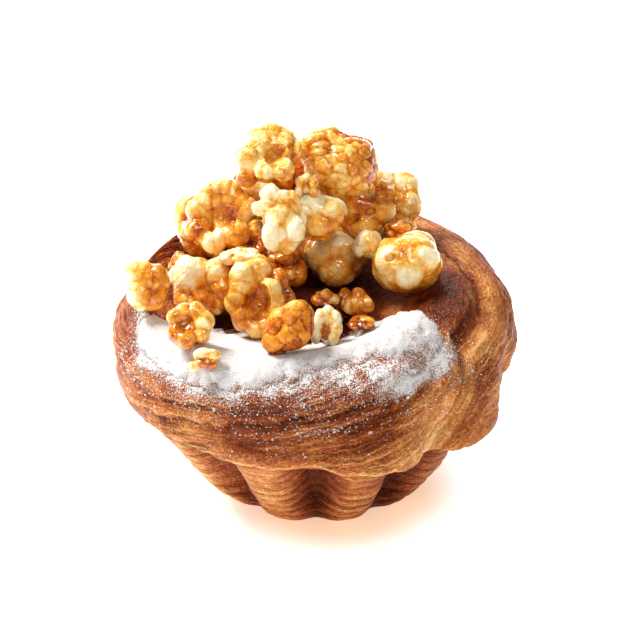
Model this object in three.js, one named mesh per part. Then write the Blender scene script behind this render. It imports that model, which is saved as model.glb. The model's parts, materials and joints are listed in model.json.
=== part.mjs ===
// A bun of croissant dough baked in a fluted tin, with a crescent of icing sugar on its crown
// and a heap of caramel popcorn in its hollow. Millimetres, +Z up, origin at the middle of the base.
import * as THREE from 'three';
import { mergeVertices } from 'three/addons/utils/BufferGeometryUtils.js';

const {
  clamp, degToRad, euclideanModulo, inverseLerp, lerp, radToDeg, seededRandom, smoothstep,
} = THREE.MathUtils;

// Driving dimensions of the bun, from the foot of its wall to the middle of its hollow
const BASE_RADIUS = 28.2;
const TIN_RADIUS = 50.2;
const TIN_HEIGHT = 28;
const CROWN_RADIUS = 55;
const CROWN_HEIGHT = 62.2;
const HOLLOW_RADIUS = 36.5;
const HOLLOW_FLOOR = 52;
const CROWN_SHIFT = new THREE.Vector2(-1, -1.2);
const HOLLOW_SHIFT = new THREE.Vector2(-10, -1);

// Each row of both outlines is one height on the bun: radius and height
const SMOOTH_SIDE = outline([
  [BASE_RADIUS, 0], [34.5, 6], [40.8, 14], [46, 22], [TIN_RADIUS, TIN_HEIGHT],
  [53.2, 33.5], [CROWN_RADIUS, 42], [53.6, 50.5], [48.6, 58], [42.2, CROWN_HEIGHT - 0.9],
  [HOLLOW_RADIUS, 60.2], [30, 57], [18, 53], [6, HOLLOW_FLOOR],
]);
const LOBED_SIDE = outline([
  [BASE_RADIUS, 0], [34, 6], [39.5, 14], [44, 22], [TIN_RADIUS - 1.7, TIN_HEIGHT + 0.5],
  [57, 32.5], [58.2, 39.5], [56.6, 48.5], [51, 57.6], [43, CROWN_HEIGHT],
  [HOLLOW_RADIUS, 59], [30, 57], [18, 53], [6, HOLLOW_FLOOR],
]);
const LAST_ROW = 13;
const RIM_ROW = 10;
const LOBED_FACING = degToRad(52);
const LOBED_SPREAD = [0.3, 1];

// The crown rose more on one side: it leans down away from it, and tucks in behind its last lobe
const LEAN = 3.4;
const LEAN_FACING = degToRad(140);
const LEAN_ROWS = [6, 9];
const CROWN_SHIFT_ROWS = [4, 5.5];
const HOLLOW_SHIFT_ROWS = [7.5, RIM_ROW];
const TUCK = { facing: degToRad(97), width: degToRad(24), row: 5.35, rows: 1.25, depth: 7.5 };

// Flutes of the tin
const FLUTES = 10;
const FLUTE_FACING = degToRad(17);
const FLUTE_DEPTH = 8;
const FLUTE_DEPTH_AT_BASE = 2.5;
const FLUTE_FULL_HEIGHT = 12;
const FLUTE_TOP = [29, 34];
const VALLEY_NARROWING = 1.9;
const CROWN_LOBE_DEPTH = 5.5;
const CROWN_LOBE_FOOT = [24, 32];
const CROWN_LOBE_TOP = [40, 54];

// Edge of the rolled strip: it follows the crown's foot, climbs steeply on the right and winds to the rim.
// Each rise is the azimuths from and to, in degrees, and the rows climbed.
const SEAM_STEP = 1.2;
const SEAM_START = -70;
const SEAM_END = 215;
const SEAM_ROW = 5.3;
const SEAM_RISES = [[28, 53, 3], [50, 120, 0.9], [120, 215, 1]];
const SEAM_EDGE = [-0.25, 0.15];
const SEAM_BACK = [0.3, 1.6];
const SEAM_GROOVE = { row: -0.35, width: 0.3, share: 0.6 };
const SEAM_ENDS = [0.15, 0.8];

const BUN_SEGMENTS = 90;
const BUN_RINGS = 26;

// Icing sugar: a skin on the front of the crown that reaches into the hollow.
// Each edge is the azimuth in degrees, the row of the outer edge and the row of the inner one.
const SUGAR_THICKNESS = 1.1;
const SUGAR_EDGE = 0.3;
const SUGAR_EDGES = [
  [-74, 8, 8.8], [-66, 7.55, 9.6], [-58, 7.4, 11], [-48, 7.4, 12], [-34, 7.45, 12.1], [-16, 7.95, 12],
  [-5, 8.3, 11.9], [4, 8.6, 11.7], [14, 8.8, 11.4], [24, 8.9, 11.1], [36, 8.75, 11], [46, 8.55, 10.9],
  [53, 8.9, 10.8], [60, 9.5, 10.7], [66, 10, 10.5],
];
const SUGAR_SEGMENTS = [24, 9, 1];

// Clear space between neighbours that touch
const GAP = 0.45;

const COLOURS = { crust: 0xb0713c, sugar: 0xf3f0ee, cream: 0xf2dca6, golden: 0xdfa04a, amber: 0xb8691f };

// Popcorn: name, shape, place, half sizes, colour and, for a cup, the way its crater faces
const POPCORN = [
  ['top_left', 'lobed', [-14.2, 9, 92.2], [10.4, 9.6, 8.4], 'golden'],
  ['top_right', 'ball', [4.4, 15, 84.4], [11.6, 10.6, 10.8], 'golden'],
  ['top_curl', 'curl', [-3, 1, 90.2], [3.9, 3.4, 3.4], 'cream'],
  ['left_shoulder', 'cup', [-24.8, 6, 75], [10.8, 9.6, 10.8], 'golden', [0.3, -0.8, 0.2]],
  ['middle_left', 'lobed', [-11.2, -6.5, 81.4], [7.8, 7.8, 10], 'cream'],
  ['middle', 'ball', [-0.8, 1.5, 80.4], [8.4, 8, 8.2], 'cream'],
  ['right_shoulder', 'lobed', [18.4, 20.5, 73.4], [8.4, 8.6, 8.7], 'amber'],
  ['middle_right', 'ball', [12.2, 5.5, 75], [8.4, 7.2, 7], 'amber'],
  ['bead', 'curl', [15, 0.5, 73], [4.8, 4.2, 4.2], 'cream'],
  ['glossy', 'ball', [4, 5.5, 62.5], [9, 8.8, 9], 'golden'],
  ['right_oval', 'ball', [22.6, -7, 69], [10.4, 8.6, 8.2], 'cream'],
  ['left_pair', 'lobed', [-31.8, -5.5, 64], [9.8, 8.8, 8], 'golden'],
  ['left_rim', 'lobed', [-45.2, -16.5, 68], [7.2, 7, 8.6], 'golden'],
  ['front_cup', 'cup', [-32.5, -35.6, 66.2], [7.4, 6.6, 6.4], 'golden', [-0.3, -0.5, 0.6]],
  ['front_flake', 'curl', [-29.6, -41, 63.2], [5, 3.6, 3.2], 'cream'],
  ['left_flake', 'curl', [-19.4, -6.5, 75.5], [6.2, 4.8, 3.8], 'cream'],
  ['butterfly', 'cup', [-15, -15.5, 64.5], [9.7, 9.4, 11.2], 'golden', [0.5, -0.8, -0.3]],
  ['front_lump', 'ball', [-7.6, -37.2, 66.2], [7.7, 6.8, 8], 'amber'],
  ['front_curl', 'curl', [2.4, -31, 64.6], [5.4, 4.6, 5.6], 'cream'],
  ['small_a', 'curl', [2.7, -11.5, 60.6], [4.5, 3.8, 3], 'golden'],
  ['small_b', 'curl', [10, -13, 59.6], [4.5, 4, 4.6], 'golden'],
  ['flat_flake', 'curl', [11.8, -25.5, 62], [4.6, 3.6, 2], 'amber'],
  ['dark_gap', 'lobed', [-7.4, 1, 65.5], [6.6, 6.6, 6.4], 'amber'],
  ['right_bit', 'curl', [21.2, 3.4, 75], [4.2, 3.8, 3.8], 'amber'],
];
// What the heap stands on and shows at the back: rings of pieces around a middle
const BACK_RINGS = [
  { middle: [-8, 8], radius: 22, height: 65.5, azimuths: [138, 172, 206, 240], half: 9 },
  { middle: [-6, 17], radius: 10, height: 76, azimuths: [130, 184, 238], half: 6.6 },
  { middle: [-8, 4], radius: 14, height: 61, azimuths: [-95, -45, 170, 235], half: 7 },
  { middle: [-8, 4], radius: 30, height: 65, azimuths: [262], half: 4.4 },
  { middle: [6, -13], radius: 4, height: 56.5, azimuths: [-60, 100], half: 4 },
];
const BACK_SHAPES = ['ball', 'lobed', 'cup'];
const BACK_COLOURS = ['golden', 'cream', 'amber'];

const SHAPES = {
  ball: { core: 0.76, lobes: 14, lobe: 0.38, reach: 0.58 },
  lobed: { core: 0.5, lobes: 8, lobe: 0.45, reach: 0.52 },
  cup: { core: 0.55, lobes: 7, lobe: 0.48, reach: 0.5 },
  curl: { core: 0.45, lobes: 5, lobe: 0.46, reach: 0.5 },
};
const FINE_NET = 3;
const COARSE_NET = 2;
const SMALL_KERNEL = 8.5;
const GOLDEN_ANGLE = Math.PI * (3 - Math.sqrt(5));
const LOBE_SPREAD = 0.18;
const SHOWN_EASE = 0.2;
const BLEND_POWER = 9;
const CRATER_DEPTH = 0.42;
const CRATER_WIDTH = 0.62;
const KERNEL_FULLNESS = 1.12;

function outline(rows) {
  return new THREE.SplineCurve(rows.map(([radius, height]) => new THREE.Vector2(radius, height)));
}

// 1 at the right of the front, where the crown falls in lobes over the tin, 0 on the left
function lobedShare(azimuth) {
  return smoothstep(0.5 + 0.5 * Math.cos(azimuth - LOBED_FACING), ...LOBED_SPREAD) ** 2;
}

function bell(value, width) {
  return Math.exp(-((value / width) ** 2));
}

// How far the crown's foot tucks in
function tuckIn(azimuth, row) {
  const turned = euclideanModulo(azimuth - TUCK.facing + Math.PI, 2 * Math.PI) - Math.PI;
  return TUCK.depth * bell(turned, TUCK.width) * bell(row - TUCK.row, TUCK.rows);
}

// 1 along the bottom of a flute's valley, 0 on its ridge
function fluteValley(azimuth) {
  return (0.5 - 0.5 * Math.cos(FLUTES * (azimuth - FLUTE_FACING))) ** VALLEY_NARROWING;
}

// How far the surface stands out at the edge of the rolled strip
function seamRelief(azimuth, row) {
  const turned = euclideanModulo(radToDeg(azimuth) - SEAM_START, 360) + SEAM_START;
  const along = (turned - SEAM_START) / (SEAM_END - SEAM_START);
  let across = row - SEAM_ROW;
  for (const [from, to, rise] of SEAM_RISES) {
    across -= rise * smoothstep(turned, from, to);
  }
  const inside = smoothstep(across, ...SEAM_EDGE) * (1 - smoothstep(across, ...SEAM_BACK));
  const groove = bell(across - SEAM_GROOVE.row, SEAM_GROOVE.width);
  const ends = smoothstep(along, 0, SEAM_ENDS[0]) * (1 - smoothstep(along, SEAM_ENDS[1], 1));
  return SEAM_STEP * (inside - SEAM_GROOVE.share * groove) * ends;
}

// A point of the bun's surface: azimuth from the front towards +X, row from the foot to the hollow
function bunPoint(azimuth, row) {
  const share = lobedShare(azimuth);
  const spot = SMOOTH_SIDE.getPoint(row / LAST_ROW).lerp(LOBED_SIDE.getPoint(row / LAST_ROW), share);
  const lean = LEAN * smoothstep(row, ...LEAN_ROWS) * (1 - smoothstep(row, RIM_ROW, LAST_ROW));
  const height = spot.y + lean * Math.cos(azimuth - LEAN_FACING);
  let radius = spot.x - tuckIn(azimuth, row);
  if (row < RIM_ROW) {
    const wall = lerp(FLUTE_DEPTH_AT_BASE, FLUTE_DEPTH, smoothstep(height, 0, FLUTE_FULL_HEIGHT));
    const flute = wall * (1 - smoothstep(height, ...FLUTE_TOP));
    const fall = smoothstep(height, ...CROWN_LOBE_FOOT) * (1 - smoothstep(height, ...CROWN_LOBE_TOP));
    radius -= fluteValley(azimuth) * (flute + CROWN_LOBE_DEPTH * share * fall);
  }
  const shift = CROWN_SHIFT.clone().multiplyScalar(smoothstep(row, ...CROWN_SHIFT_ROWS));
  shift.lerp(HOLLOW_SHIFT, smoothstep(row, ...HOLLOW_SHIFT_ROWS));
  return new THREE.Vector3(
    radius * Math.sin(azimuth) + shift.x,
    -radius * Math.cos(azimuth) + shift.y,
    height,
  );
}

const STEP = 0.01;
function bunNormal(azimuth, row) {
  const here = bunPoint(azimuth, row);
  const around = bunPoint(azimuth + STEP, row).sub(here);
  const upward = bunPoint(azimuth, row + STEP).sub(here);
  return around.cross(upward).normalize();
}

function crustPoint(azimuth, row, lift = 0) {
  const relief = seamRelief(azimuth, row) + lift;
  return bunPoint(azimuth, row).addScaledVector(bunNormal(azimuth, row), relief);
}

function closedGeometry(geometry) {
  geometry.deleteAttribute('normal');
  geometry.deleteAttribute('uv');
  const merged = mergeVertices(geometry, 1e-4);
  merged.computeVertexNormals();
  return merged;
}

function moveVertices(geometry, place) {
  const position = geometry.attributes.position;
  const point = new THREE.Vector3();
  for (let i = 0; i < position.count; i += 1) {
    point.fromBufferAttribute(position, i);
    place(point, i);
    position.setXYZ(i, point.x, point.y, point.z);
  }
  return geometry;
}

function bunGeometry() {
  // The lathe gives the net: its first and last rings lie on the axis
  const rings = [new THREE.Vector2(0, 0)];
  for (let k = 0; k <= BUN_RINGS; k += 1) {
    rings.push(SMOOTH_SIDE.getPoint(k / BUN_RINGS));
  }
  rings.push(new THREE.Vector2(0, HOLLOW_FLOOR));
  const geometry = new THREE.LatheGeometry(rings, BUN_SEGMENTS);
  moveVertices(geometry, (point, i) => {
    const segment = Math.floor(i / rings.length) % BUN_SEGMENTS;
    const ring = i % rings.length;
    if (ring === 0) {
      point.set(0, 0, 0);
    } else if (ring === rings.length - 1) {
      point.set(HOLLOW_SHIFT.x, HOLLOW_SHIFT.y, HOLLOW_FLOOR);
    } else {
      const row = (ring - 1) / BUN_RINGS * LAST_ROW;
      const azimuth = segment / BUN_SEGMENTS * 2 * Math.PI;
      point.copy(ring === 1 ? bunPoint(azimuth, row) : crustPoint(azimuth, row));
    }
  });
  return closedGeometry(geometry);
}

// Azimuth, outer row and inner row of the sugar, a share of the way from its left end to its right
function sugarEdge(along) {
  const azimuth = lerp(SUGAR_EDGES[0][0], SUGAR_EDGES.at(-1)[0], along);
  const after = SUGAR_EDGES.findIndex(([place], k) => k > 0 && place >= azimuth - 1e-6);
  const [from, to] = SUGAR_EDGES.slice(after - 1, after + 1);
  const share = inverseLerp(from[0], to[0], azimuth);
  return [degToRad(azimuth), lerp(from[1], to[1], share), lerp(from[2], to[2], share)];
}

function sugarThickness(along, across) {
  const ends = smoothstep(along, 0, 0.12) * (1 - smoothstep(along, 0.88, 1));
  const sides = smoothstep(across, 0, 0.3) * (1 - smoothstep(across, 0.75, 1));
  return lerp(SUGAR_EDGE, SUGAR_THICKNESS, ends * sides);
}

function sugarPoint(along, across, side) {
  const [azimuth, outer, inner] = sugarEdge(along);
  return crustPoint(azimuth, lerp(outer, inner, across), GAP + side * sugarThickness(along, across));
}

function sugarGeometry() {
  const geometry = new THREE.BoxGeometry(1, 1, 1, ...SUGAR_SEGMENTS);
  moveVertices(geometry, (point) => {
    point.copy(sugarPoint(point.x + 0.5, point.y + 0.5, point.z + 0.5));
  });
  return closedGeometry(geometry);
}

// Spheres whose union, seen from the middle, gives a popped kernel its outline
function kernelLobes(shape, seed) {
  const { core, lobes, lobe, reach } = SHAPES[shape];
  const spheres = [{ middle: new THREE.Vector3(), radius: core }];
  seededRandom(seed);
  for (let k = 0; k < lobes; k += 1) {
    const z = 1 - 2 * (k + 0.5) / lobes;
    const turn = k * GOLDEN_ANGLE + seed;
    const flat = Math.sqrt(1 - z * z);
    const middle = new THREE.Vector3(flat * Math.cos(turn), flat * Math.sin(turn), z);
    const stray = new THREE.Vector3(seededRandom(), seededRandom(), seededRandom()).subScalar(0.5);
    middle.addScaledVector(stray, 2 * LOBE_SPREAD).multiplyScalar(reach * (0.9 + 0.25 * seededRandom()));
    spheres.push({ middle, radius: lobe * (0.85 + 0.3 * seededRandom()) });
  }
  return spheres;
}

// Distance from the middle of a kernel to its surface along a unit direction
function kernelReach(kernel, direction) {
  let sum = 0;
  for (const { middle, radius } of kernel.lobes) {
    const along = direction.dot(middle);
    const root = along * along - middle.lengthSq() + radius * radius;
    if (root > 0) sum += Math.max(0, along + Math.sqrt(root)) ** BLEND_POWER;
  }
  let reach = kernel.fit * sum ** (1 / BLEND_POWER);
  if (kernel.crater) {
    reach *= 1 - CRATER_DEPTH * smoothstep(direction.dot(kernel.crater), CRATER_WIDTH, 1);
  }
  return reach;
}

function makeKernel([name, shape, place, half, colour, crater], index) {
  const shown = index < POPCORN.length;
  const kernel = {
    name: `popcorn_${name}`,
    colour,
    place: new THREE.Vector3(...place),
    half: new THREE.Vector3(...half),
    lobes: kernelLobes(shape, index + 1),
    crater: crater && new THREE.Vector3(...crater).normalize(),
    fit: 1,
    ease: shown ? SHOWN_EASE : 1,
  };
  kernel.geometry = kernelGeometry(kernel, shown && half[0] > SMALL_KERNEL ? FINE_NET : COARSE_NET);
  return kernel;
}

function kernelGeometry(kernel, detail) {
  const geometry = new THREE.IcosahedronGeometry(1, detail);
  let longest = 0;
  moveVertices(geometry, (point) => {
    longest = Math.max(longest, kernelReach(kernel, point.normalize()));
  });
  kernel.fit = KERNEL_FULLNESS / longest;
  moveVertices(geometry, (point) => {
    point.multiplyScalar(kernelReach(kernel, point)).multiply(kernel.half);
  });
  return closedGeometry(geometry);
}

function backRow({ middle, height, radius, half, azimuths }, ring) {
  return azimuths.map((degrees, k) => {
    const azimuth = degToRad(degrees);
    const place = [middle[0] + radius * Math.sin(azimuth), middle[1] - radius * Math.cos(azimuth), height];
    const pick = (ring + k) % BACK_SHAPES.length;
    const sizes = [half, half, half * 0.95];
    const outward = [Math.sin(azimuth), -Math.cos(azimuth), 0.3];
    const crater = BACK_SHAPES[pick] === 'cup' ? outward : undefined;
    return [`back_${ring + 1}${k + 1}`, BACK_SHAPES[pick], place, sizes, BACK_COLOURS[pick], crater];
  });
}

// Height of the bun and its sugar over a square net of points
const NET_STEP = 1;
const NET_HALF = 64;
const NET_TURNS = 480;
const NET_FIRST_ROW = 6;
function heightNet() {
  const side = 2 * NET_HALF / NET_STEP + 1;
  const net = new Float32Array(side * side).fill(-Infinity);
  const mark = (point) => {
    const column = Math.round((point.x + NET_HALF) / NET_STEP);
    const line = Math.round((point.y + NET_HALF) / NET_STEP);
    const cell = line * side + column;
    net[cell] = Math.max(net[cell], point.z);
  };
  for (let turn = 0; turn < NET_TURNS; turn += 1) {
    for (let row = NET_FIRST_ROW; row <= LAST_ROW; row += 0.1) {
      mark(crustPoint(turn / NET_TURNS * 2 * Math.PI, row));
    }
  }
  for (let along = 0; along <= 1; along += 0.005) {
    for (let across = 0; across <= 1; across += 0.04) {
      mark(sugarPoint(along, across, 1));
    }
  }
  return (x, y) => {
    const column = clamp(Math.round((x + NET_HALF) / NET_STEP), 0, side - 1);
    const line = clamp(Math.round((y + NET_HALF) / NET_STEP), 0, side - 1);
    return net[line * side + column];
  };
}

// How deep the surface points of one kernel lie inside another
function depthInside(one, other) {
  const position = one.geometry.attributes.position;
  const offset = one.place.clone().sub(other.place);
  const point = new THREE.Vector3();
  let deepest = 0;
  for (let i = 0; i < position.count; i += 1) {
    point.fromBufferAttribute(position, i).add(offset);
    const distance = point.length();
    point.divide(other.half);
    const scaled = point.length();
    const reach = kernelReach(other, point.divideScalar(scaled)) * distance / scaled;
    deepest = Math.max(deepest, reach + GAP - distance);
  }
  return deepest;
}

function meet(one, other) {
  const apart = one.place.distanceTo(other.place);
  const near = KERNEL_FULLNESS * (Math.max(...one.half) + Math.max(...other.half)) + GAP;
  return apart > near ? 0 : Math.max(depthInside(one, other), depthInside(other, one));
}

function depthBelow(kernel, heightAt) {
  const position = kernel.geometry.attributes.position;
  let deepest = 0;
  for (let i = 0; i < position.count; i += 1) {
    const x = kernel.place.x + position.getX(i);
    const y = kernel.place.y + position.getY(i);
    const z = kernel.place.z + position.getZ(i);
    deepest = Math.max(deepest, heightAt(x, y) + GAP - z);
  }
  return deepest;
}

// Kernels that meet are pushed apart in small steps, and up out of the bun, until none touches.
// Those that show at the front give way less than those behind them.
const SETTLE_ROUNDS = 600;
const PUSH = 0.5;
function settle(kernels, heightAt) {
  const way = new THREE.Vector3();
  for (let round = 0; round < SETTLE_ROUNDS; round += 1) {
    let touching = false;
    for (const [i, one] of kernels.entries()) {
      for (const other of kernels.slice(i + 1)) {
        const depth = meet(one, other);
        if (depth <= 0) continue;
        touching = true;
        way.copy(one.place).sub(other.place).setLength(PUSH * depth + 0.01);
        const share = one.ease / (one.ease + other.ease);
        one.place.addScaledVector(way, share);
        other.place.addScaledVector(way, share - 1);
      }
      const sunk = depthBelow(one, heightAt);
      if (sunk > 0) {
        touching = true;
        one.place.z += PUSH * sunk + 0.01;
      }
    }
    if (!touching) break;
  }
}

// Each kernel, the lowest first, then sinks until it rests on the bun or on another one
const SINK_STEP = 0.15;
const SINK_LIMIT = 10;
function letDown(kernels, heightAt) {
  const rests = (kernel) => depthBelow(kernel, heightAt) > 0
    || kernels.some((other) => other !== kernel && meet(kernel, other) > 0);
  for (const kernel of kernels.toSorted((a, b) => a.place.z - b.place.z)) {
    for (let sunk = 0; sunk < SINK_LIMIT; sunk += SINK_STEP) {
      kernel.place.z -= SINK_STEP;
      if (rests(kernel)) {
        kernel.place.z += SINK_STEP;
        break;
      }
    }
  }
}

function namedMesh(name, geometry, colour, roughness) {
  const material = new THREE.MeshStandardMaterial({ color: colour, roughness, metalness: 0 });
  const mesh = new THREE.Mesh(geometry, material);
  mesh.name = name;
  return mesh;
}

const group = new THREE.Group();
group.add(namedMesh('bun', bunGeometry(), COLOURS.crust, 0.55));
group.add(namedMesh('icing_sugar', sugarGeometry(), COLOURS.sugar, 0.95));

const kernels = [...POPCORN, ...BACK_RINGS.flatMap(backRow)].map(makeKernel);
const heightAt = heightNet();
settle(kernels, heightAt);
letDown(kernels, heightAt);
for (const kernel of kernels) {
  const mesh = namedMesh(kernel.name, kernel.geometry, COLOURS[kernel.colour], 0.35);
  mesh.position.copy(kernel.place);
  group.add(mesh);
}

export default group;
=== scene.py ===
"""Looks of a croissant bun with icing sugar and caramel popcorn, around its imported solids.

The file is laid out as an add-on: settings, one operator for each group of pieces, and a panel.
"""
import json
import math

import bpy
import numpy as np
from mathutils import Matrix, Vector


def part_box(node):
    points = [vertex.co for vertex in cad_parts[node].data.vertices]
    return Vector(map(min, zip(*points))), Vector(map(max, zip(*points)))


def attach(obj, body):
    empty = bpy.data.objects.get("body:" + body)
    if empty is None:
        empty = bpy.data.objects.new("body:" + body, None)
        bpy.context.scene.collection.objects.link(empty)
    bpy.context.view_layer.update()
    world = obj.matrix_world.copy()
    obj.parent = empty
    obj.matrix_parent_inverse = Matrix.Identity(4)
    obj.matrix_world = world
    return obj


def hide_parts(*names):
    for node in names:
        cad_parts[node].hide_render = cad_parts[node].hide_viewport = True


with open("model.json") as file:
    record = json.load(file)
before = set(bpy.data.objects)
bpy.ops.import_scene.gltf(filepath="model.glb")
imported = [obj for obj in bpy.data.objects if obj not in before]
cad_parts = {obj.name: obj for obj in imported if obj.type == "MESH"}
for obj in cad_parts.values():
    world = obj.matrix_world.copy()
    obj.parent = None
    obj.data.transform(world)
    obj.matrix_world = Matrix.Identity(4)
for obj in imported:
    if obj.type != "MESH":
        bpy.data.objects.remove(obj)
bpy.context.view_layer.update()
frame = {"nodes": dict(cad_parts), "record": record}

bl_info = {
    "name": "Croissant bun with caramel popcorn",
    "version": (1, 0, 0),
    "blender": (4, 5, 0),
    "location": "View3D > Sidebar > Bun",
    "description": "Makes the crust, icing sugar, caramel popcorn and studio of a croissant bun",
    "category": "Object",
}

MM = 0.001
BODY = "root"

# Bun in millimetres: radius and height of each row, from the foot to the middle of the hollow
SMOOTH_SIDE = np.array([
    (28.2, 0), (34.5, 6), (40.8, 14), (46, 22), (50.2, 28), (53.2, 33.5), (55, 42),
    (53.6, 50.5), (48.6, 58), (42.2, 61.3), (36.5, 60.2), (30, 57), (18, 53), (6, 52),
])
LOBED_SIDE = np.array([
    (28.2, 0), (34, 6), (39.5, 14), (44, 22), (48.5, 28.5), (57, 32.5), (58.2, 39.5),
    (56.6, 48.5), (51, 57.6), (43, 62.2), (36.5, 59), (30, 57), (18, 53), (6, 52),
])
LAST_ROW = 13
RIM_ROW = 10
LIP_ROW = 4.4
LOBED_FACING = math.radians(52)
LOBED_SPREAD = (0.3, 1)
CROWN_SHIFT = np.array((-1.0, -1.2))
CROWN_SHIFT_ROWS = (4, 5.5)
HOLLOW_MIDDLE = np.array((-10.0, -1.0))
HOLLOW_SHIFT_ROWS = (7.5, RIM_ROW)
HOLLOW_FLOOR = 52
LEAN = 3.4
LEAN_ROWS = (6, 9)
LEAN_FACING = math.radians(140)
FLUTES = 10
FLUTE_FACING = math.radians(17)
FLUTE_DEPTHS = (2.5, 8)
FLUTE_DEEPENS = (0, 12)
FLUTE_ENDS = (29, 34)
VALLEY_NARROWING = 1.9
CROWN_LOBE_DEPTH = 5.5
CROWN_LOBE_STARTS = (24, 32)
CROWN_LOBE_ENDS = (40, 54)
TUCK = {"facing": math.radians(97), "width": math.radians(24), "row": 5.35, "rows": 1.25, "depth": 7.5}

# Rows over which the foot gives way to the crown, the crown to its rim, and the rim to the hollow
FOOT_TO_CROWN = (4.0, 4.9)
CROWN_TO_RIM = (9.0, 10.2)
RIM_TO_HOLLOW = (9.4, 10.6)
RIGHT_FACING = math.radians(85)

# Net of the crust: columns round it, and rings on the foot, the crown and the hollow
CRUST_COLUMNS = 408
CRUST_RINGS = ((0, LIP_ROW, 100), (LIP_ROW, 10.4, 124), (10.4, LAST_ROW, 10))
NORMAL_STEP = 0.01

# Layers of the dough in millimetres: the flutes' rings, and the crown's bands, stripes and flakes, which
# are counted from a row and a height
RING_PITCH = 3.2
RING_RELIEF = 0.75
RING_RISE = 4.0
BAND_PITCH = 5.0
BAND_RELIEF = 0.5
STRIPE_PITCH = 1.7
STRIPE_RELIEF = 0.34
FLAKE_SIZE = 2.6
FLAKE_LENGTH = 5.0
FLAKE_RELIEF = 0.4
FLAP_TILT = 1.9
ROW_LENGTH = 8.2
LAYERS_FROM = (4, 28.5)

# Lines that only the crust's material has: pitch of its thick layers, and thin layers in each
LAYER_PITCH = 2.1
THIN_LAYERS = 2.3

# Darkness of the crust, from 0 for pale to 1 for dark, and what each feature adds to it: baking, and painted
# shade
DARKNESS_STEPS = {
    # The valleys' darkness is partly baking and partly painted shade; right_foot, hollow, creases and pocket
    # are painted shade
    "ridge": 0.36, "valley": 0.9, "rings": -0.36, "right_foot": 0.25, "left_foot": -0.08,
    "crown_foot": 0.44, "crown_top": 0.74, "flakes": -0.1, "front": 0.12, "left": 0.08,
    "right_edge": 0.04, "right_roll": -0.24, "bands": -0.16, "stripes": -0.1, "right_wall": 0.62,
    "rim": 0.62, "right_rim": 0.5, "hollow": 0.95, "pale_band": -0.38,
    "lips": -0.3, "creases": 0.18, "pocket": 0.3,
}

# Edge of the rolled strip: it follows the crown's foot, climbs steeply on the right and winds to the rim
SEAM_FROM = -70
SEAM_TO = 215
SEAM_ROW = 5.3
SEAM_RISES = ((28, 53, 3.0), (50, 120, 0.9), (120, 215, 1.0))
SEAM_STEP = 1.2

# Torn edges on the crown: azimuths from and to, row at the start, rows climbed in a turn, step, rag
LEDGES = (
    (-110, 35, 4.7, 1.4, 0.7, 0.18),
    (-75, 60, 5.3, 9.5, 0.55, 0.14),
    (-95, 10, 6.0, 6.0, 0.35, 0.12),
    (-20, 50, 6.2, 12.0, 0.6, 0.10),
    (12, 50, 7.7, 8.0, 0.5, 0.08),
    (15, 95, 4.5, 2.5, 0.7, 0.25),
    (55, 170, 7.0, 4.5, 0.6, 0.12),
    (60, 200, 5.6, 5.5, 0.6, 0.14),
    (120, 260, 7.4, 3.0, 0.5, 0.12),
    (150, 300, 5.2, 3.0, 0.7, 0.16),
    (205, 335, 6.4, 1.0, 0.5, 0.14),
)
POCKET = {"azimuth": -18, "row": 6.0, "width": 5, "height": 0.2, "depth": 1.6}

# Icing sugar: azimuth, outer row and inner row of its crescent, and a drift's azimuths and rows
SUGAR_EDGES = np.array([
    (-76, 8.3, 8.5), (-68, 7.6, 9.2), (-58, 7.4, 11.0), (-48, 7.4, 12.3), (-34, 7.45, 12.5),
    (-25, 7.65, 12.5), (-16, 7.95, 12.45), (-5, 8.3, 12.3), (4, 8.6, 12.1), (14, 8.8, 11.7),
    (24, 8.7, 11.3), (36, 8.36, 11.05), (46, 8.3, 10.95), (53, 8.7, 10.9), (60, 9.5, 10.8),
    (66, 10.3, 10.5),
])
SUGAR_TONGUE = np.array([(14, 7.6), (20, 7.75), (27, 7.85), (37, 7.95), (47, 8.1)])
TONGUE_COVER = 0.44

# Crescent's mesh: its depths in millimetres, the rows it reaches past its edges, and its net
SUGAR_THICKNESS = 1.5
SUGAR_GAP = 0.4
SUGAR_BURIED = 0.45
SUGAR_UNDERSIDE = 0.7
SUGAR_LEAST = 0.3
SUGAR_PAST = (1.5, 0.25)
SUGAR_COLUMNS = 420
SUGAR_LINES = 84

# Dust of sugar: rows over which it thins out, and how dense it is on a ledge, a shoulder and the drift
DUST = {"reach": 0.56, "front_reach": 0.3, "ledge": 0.5, "shoulder": 0.85, "drift": 1.2, "clumps": 0.85}

# Loose sugar: degrees past the crescent, rows it lies on, tries for each grain, and the grains' forms
LOOSE_PAST = 9
LOOSE_ROWS = (5.6, 11.6)
LOOSE_TRIES = 9
LOOSE_SIZES = 0.28
LOOSE_KNOBS = (0.7, 1.3)
LOOSE_RISE = 0.25
LOOSE_GRAINY = 0.46

# A fine grain of loose sugar: points and triangles of a ball of eight faces
OCTAHEDRON = (
    np.array([(1, 0, 0), (-1, 0, 0), (0, 1, 0), (0, -1, 0), (0, 0, 1), (0, 0, -1)], dtype=float),
    np.array([(0, 2, 4), (2, 1, 4), (1, 3, 4), (3, 0, 4), (2, 0, 5), (1, 2, 5), (3, 1, 5), (0, 3, 5)]),
)

# Layers of noise: strength, size in millimetres and seed of each
CRUST_UNEVEN = ((0.35, 12, 11), (0.12, 3, 12))
BAKE_UNEVEN = ((0.14, 16, 31), (0.1, 5, 32))
SEAM_RAG = ((0.14, 6, 81), (0.08, 2, 82))
DUST_CLUMPS = ((0.4, 4, 61), (0.25, 1.5, 62))
SUGAR_RAG = ((0.16, 3, 74), (0.1, 1.2, 75))
SUGAR_LUMPS = ((0.16, 4.5, 71), (0.2, 1.6, 72), (0.16, 0.8, 73))
SUGAR_GRAINY = ((0.25, 3, 76),)
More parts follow.
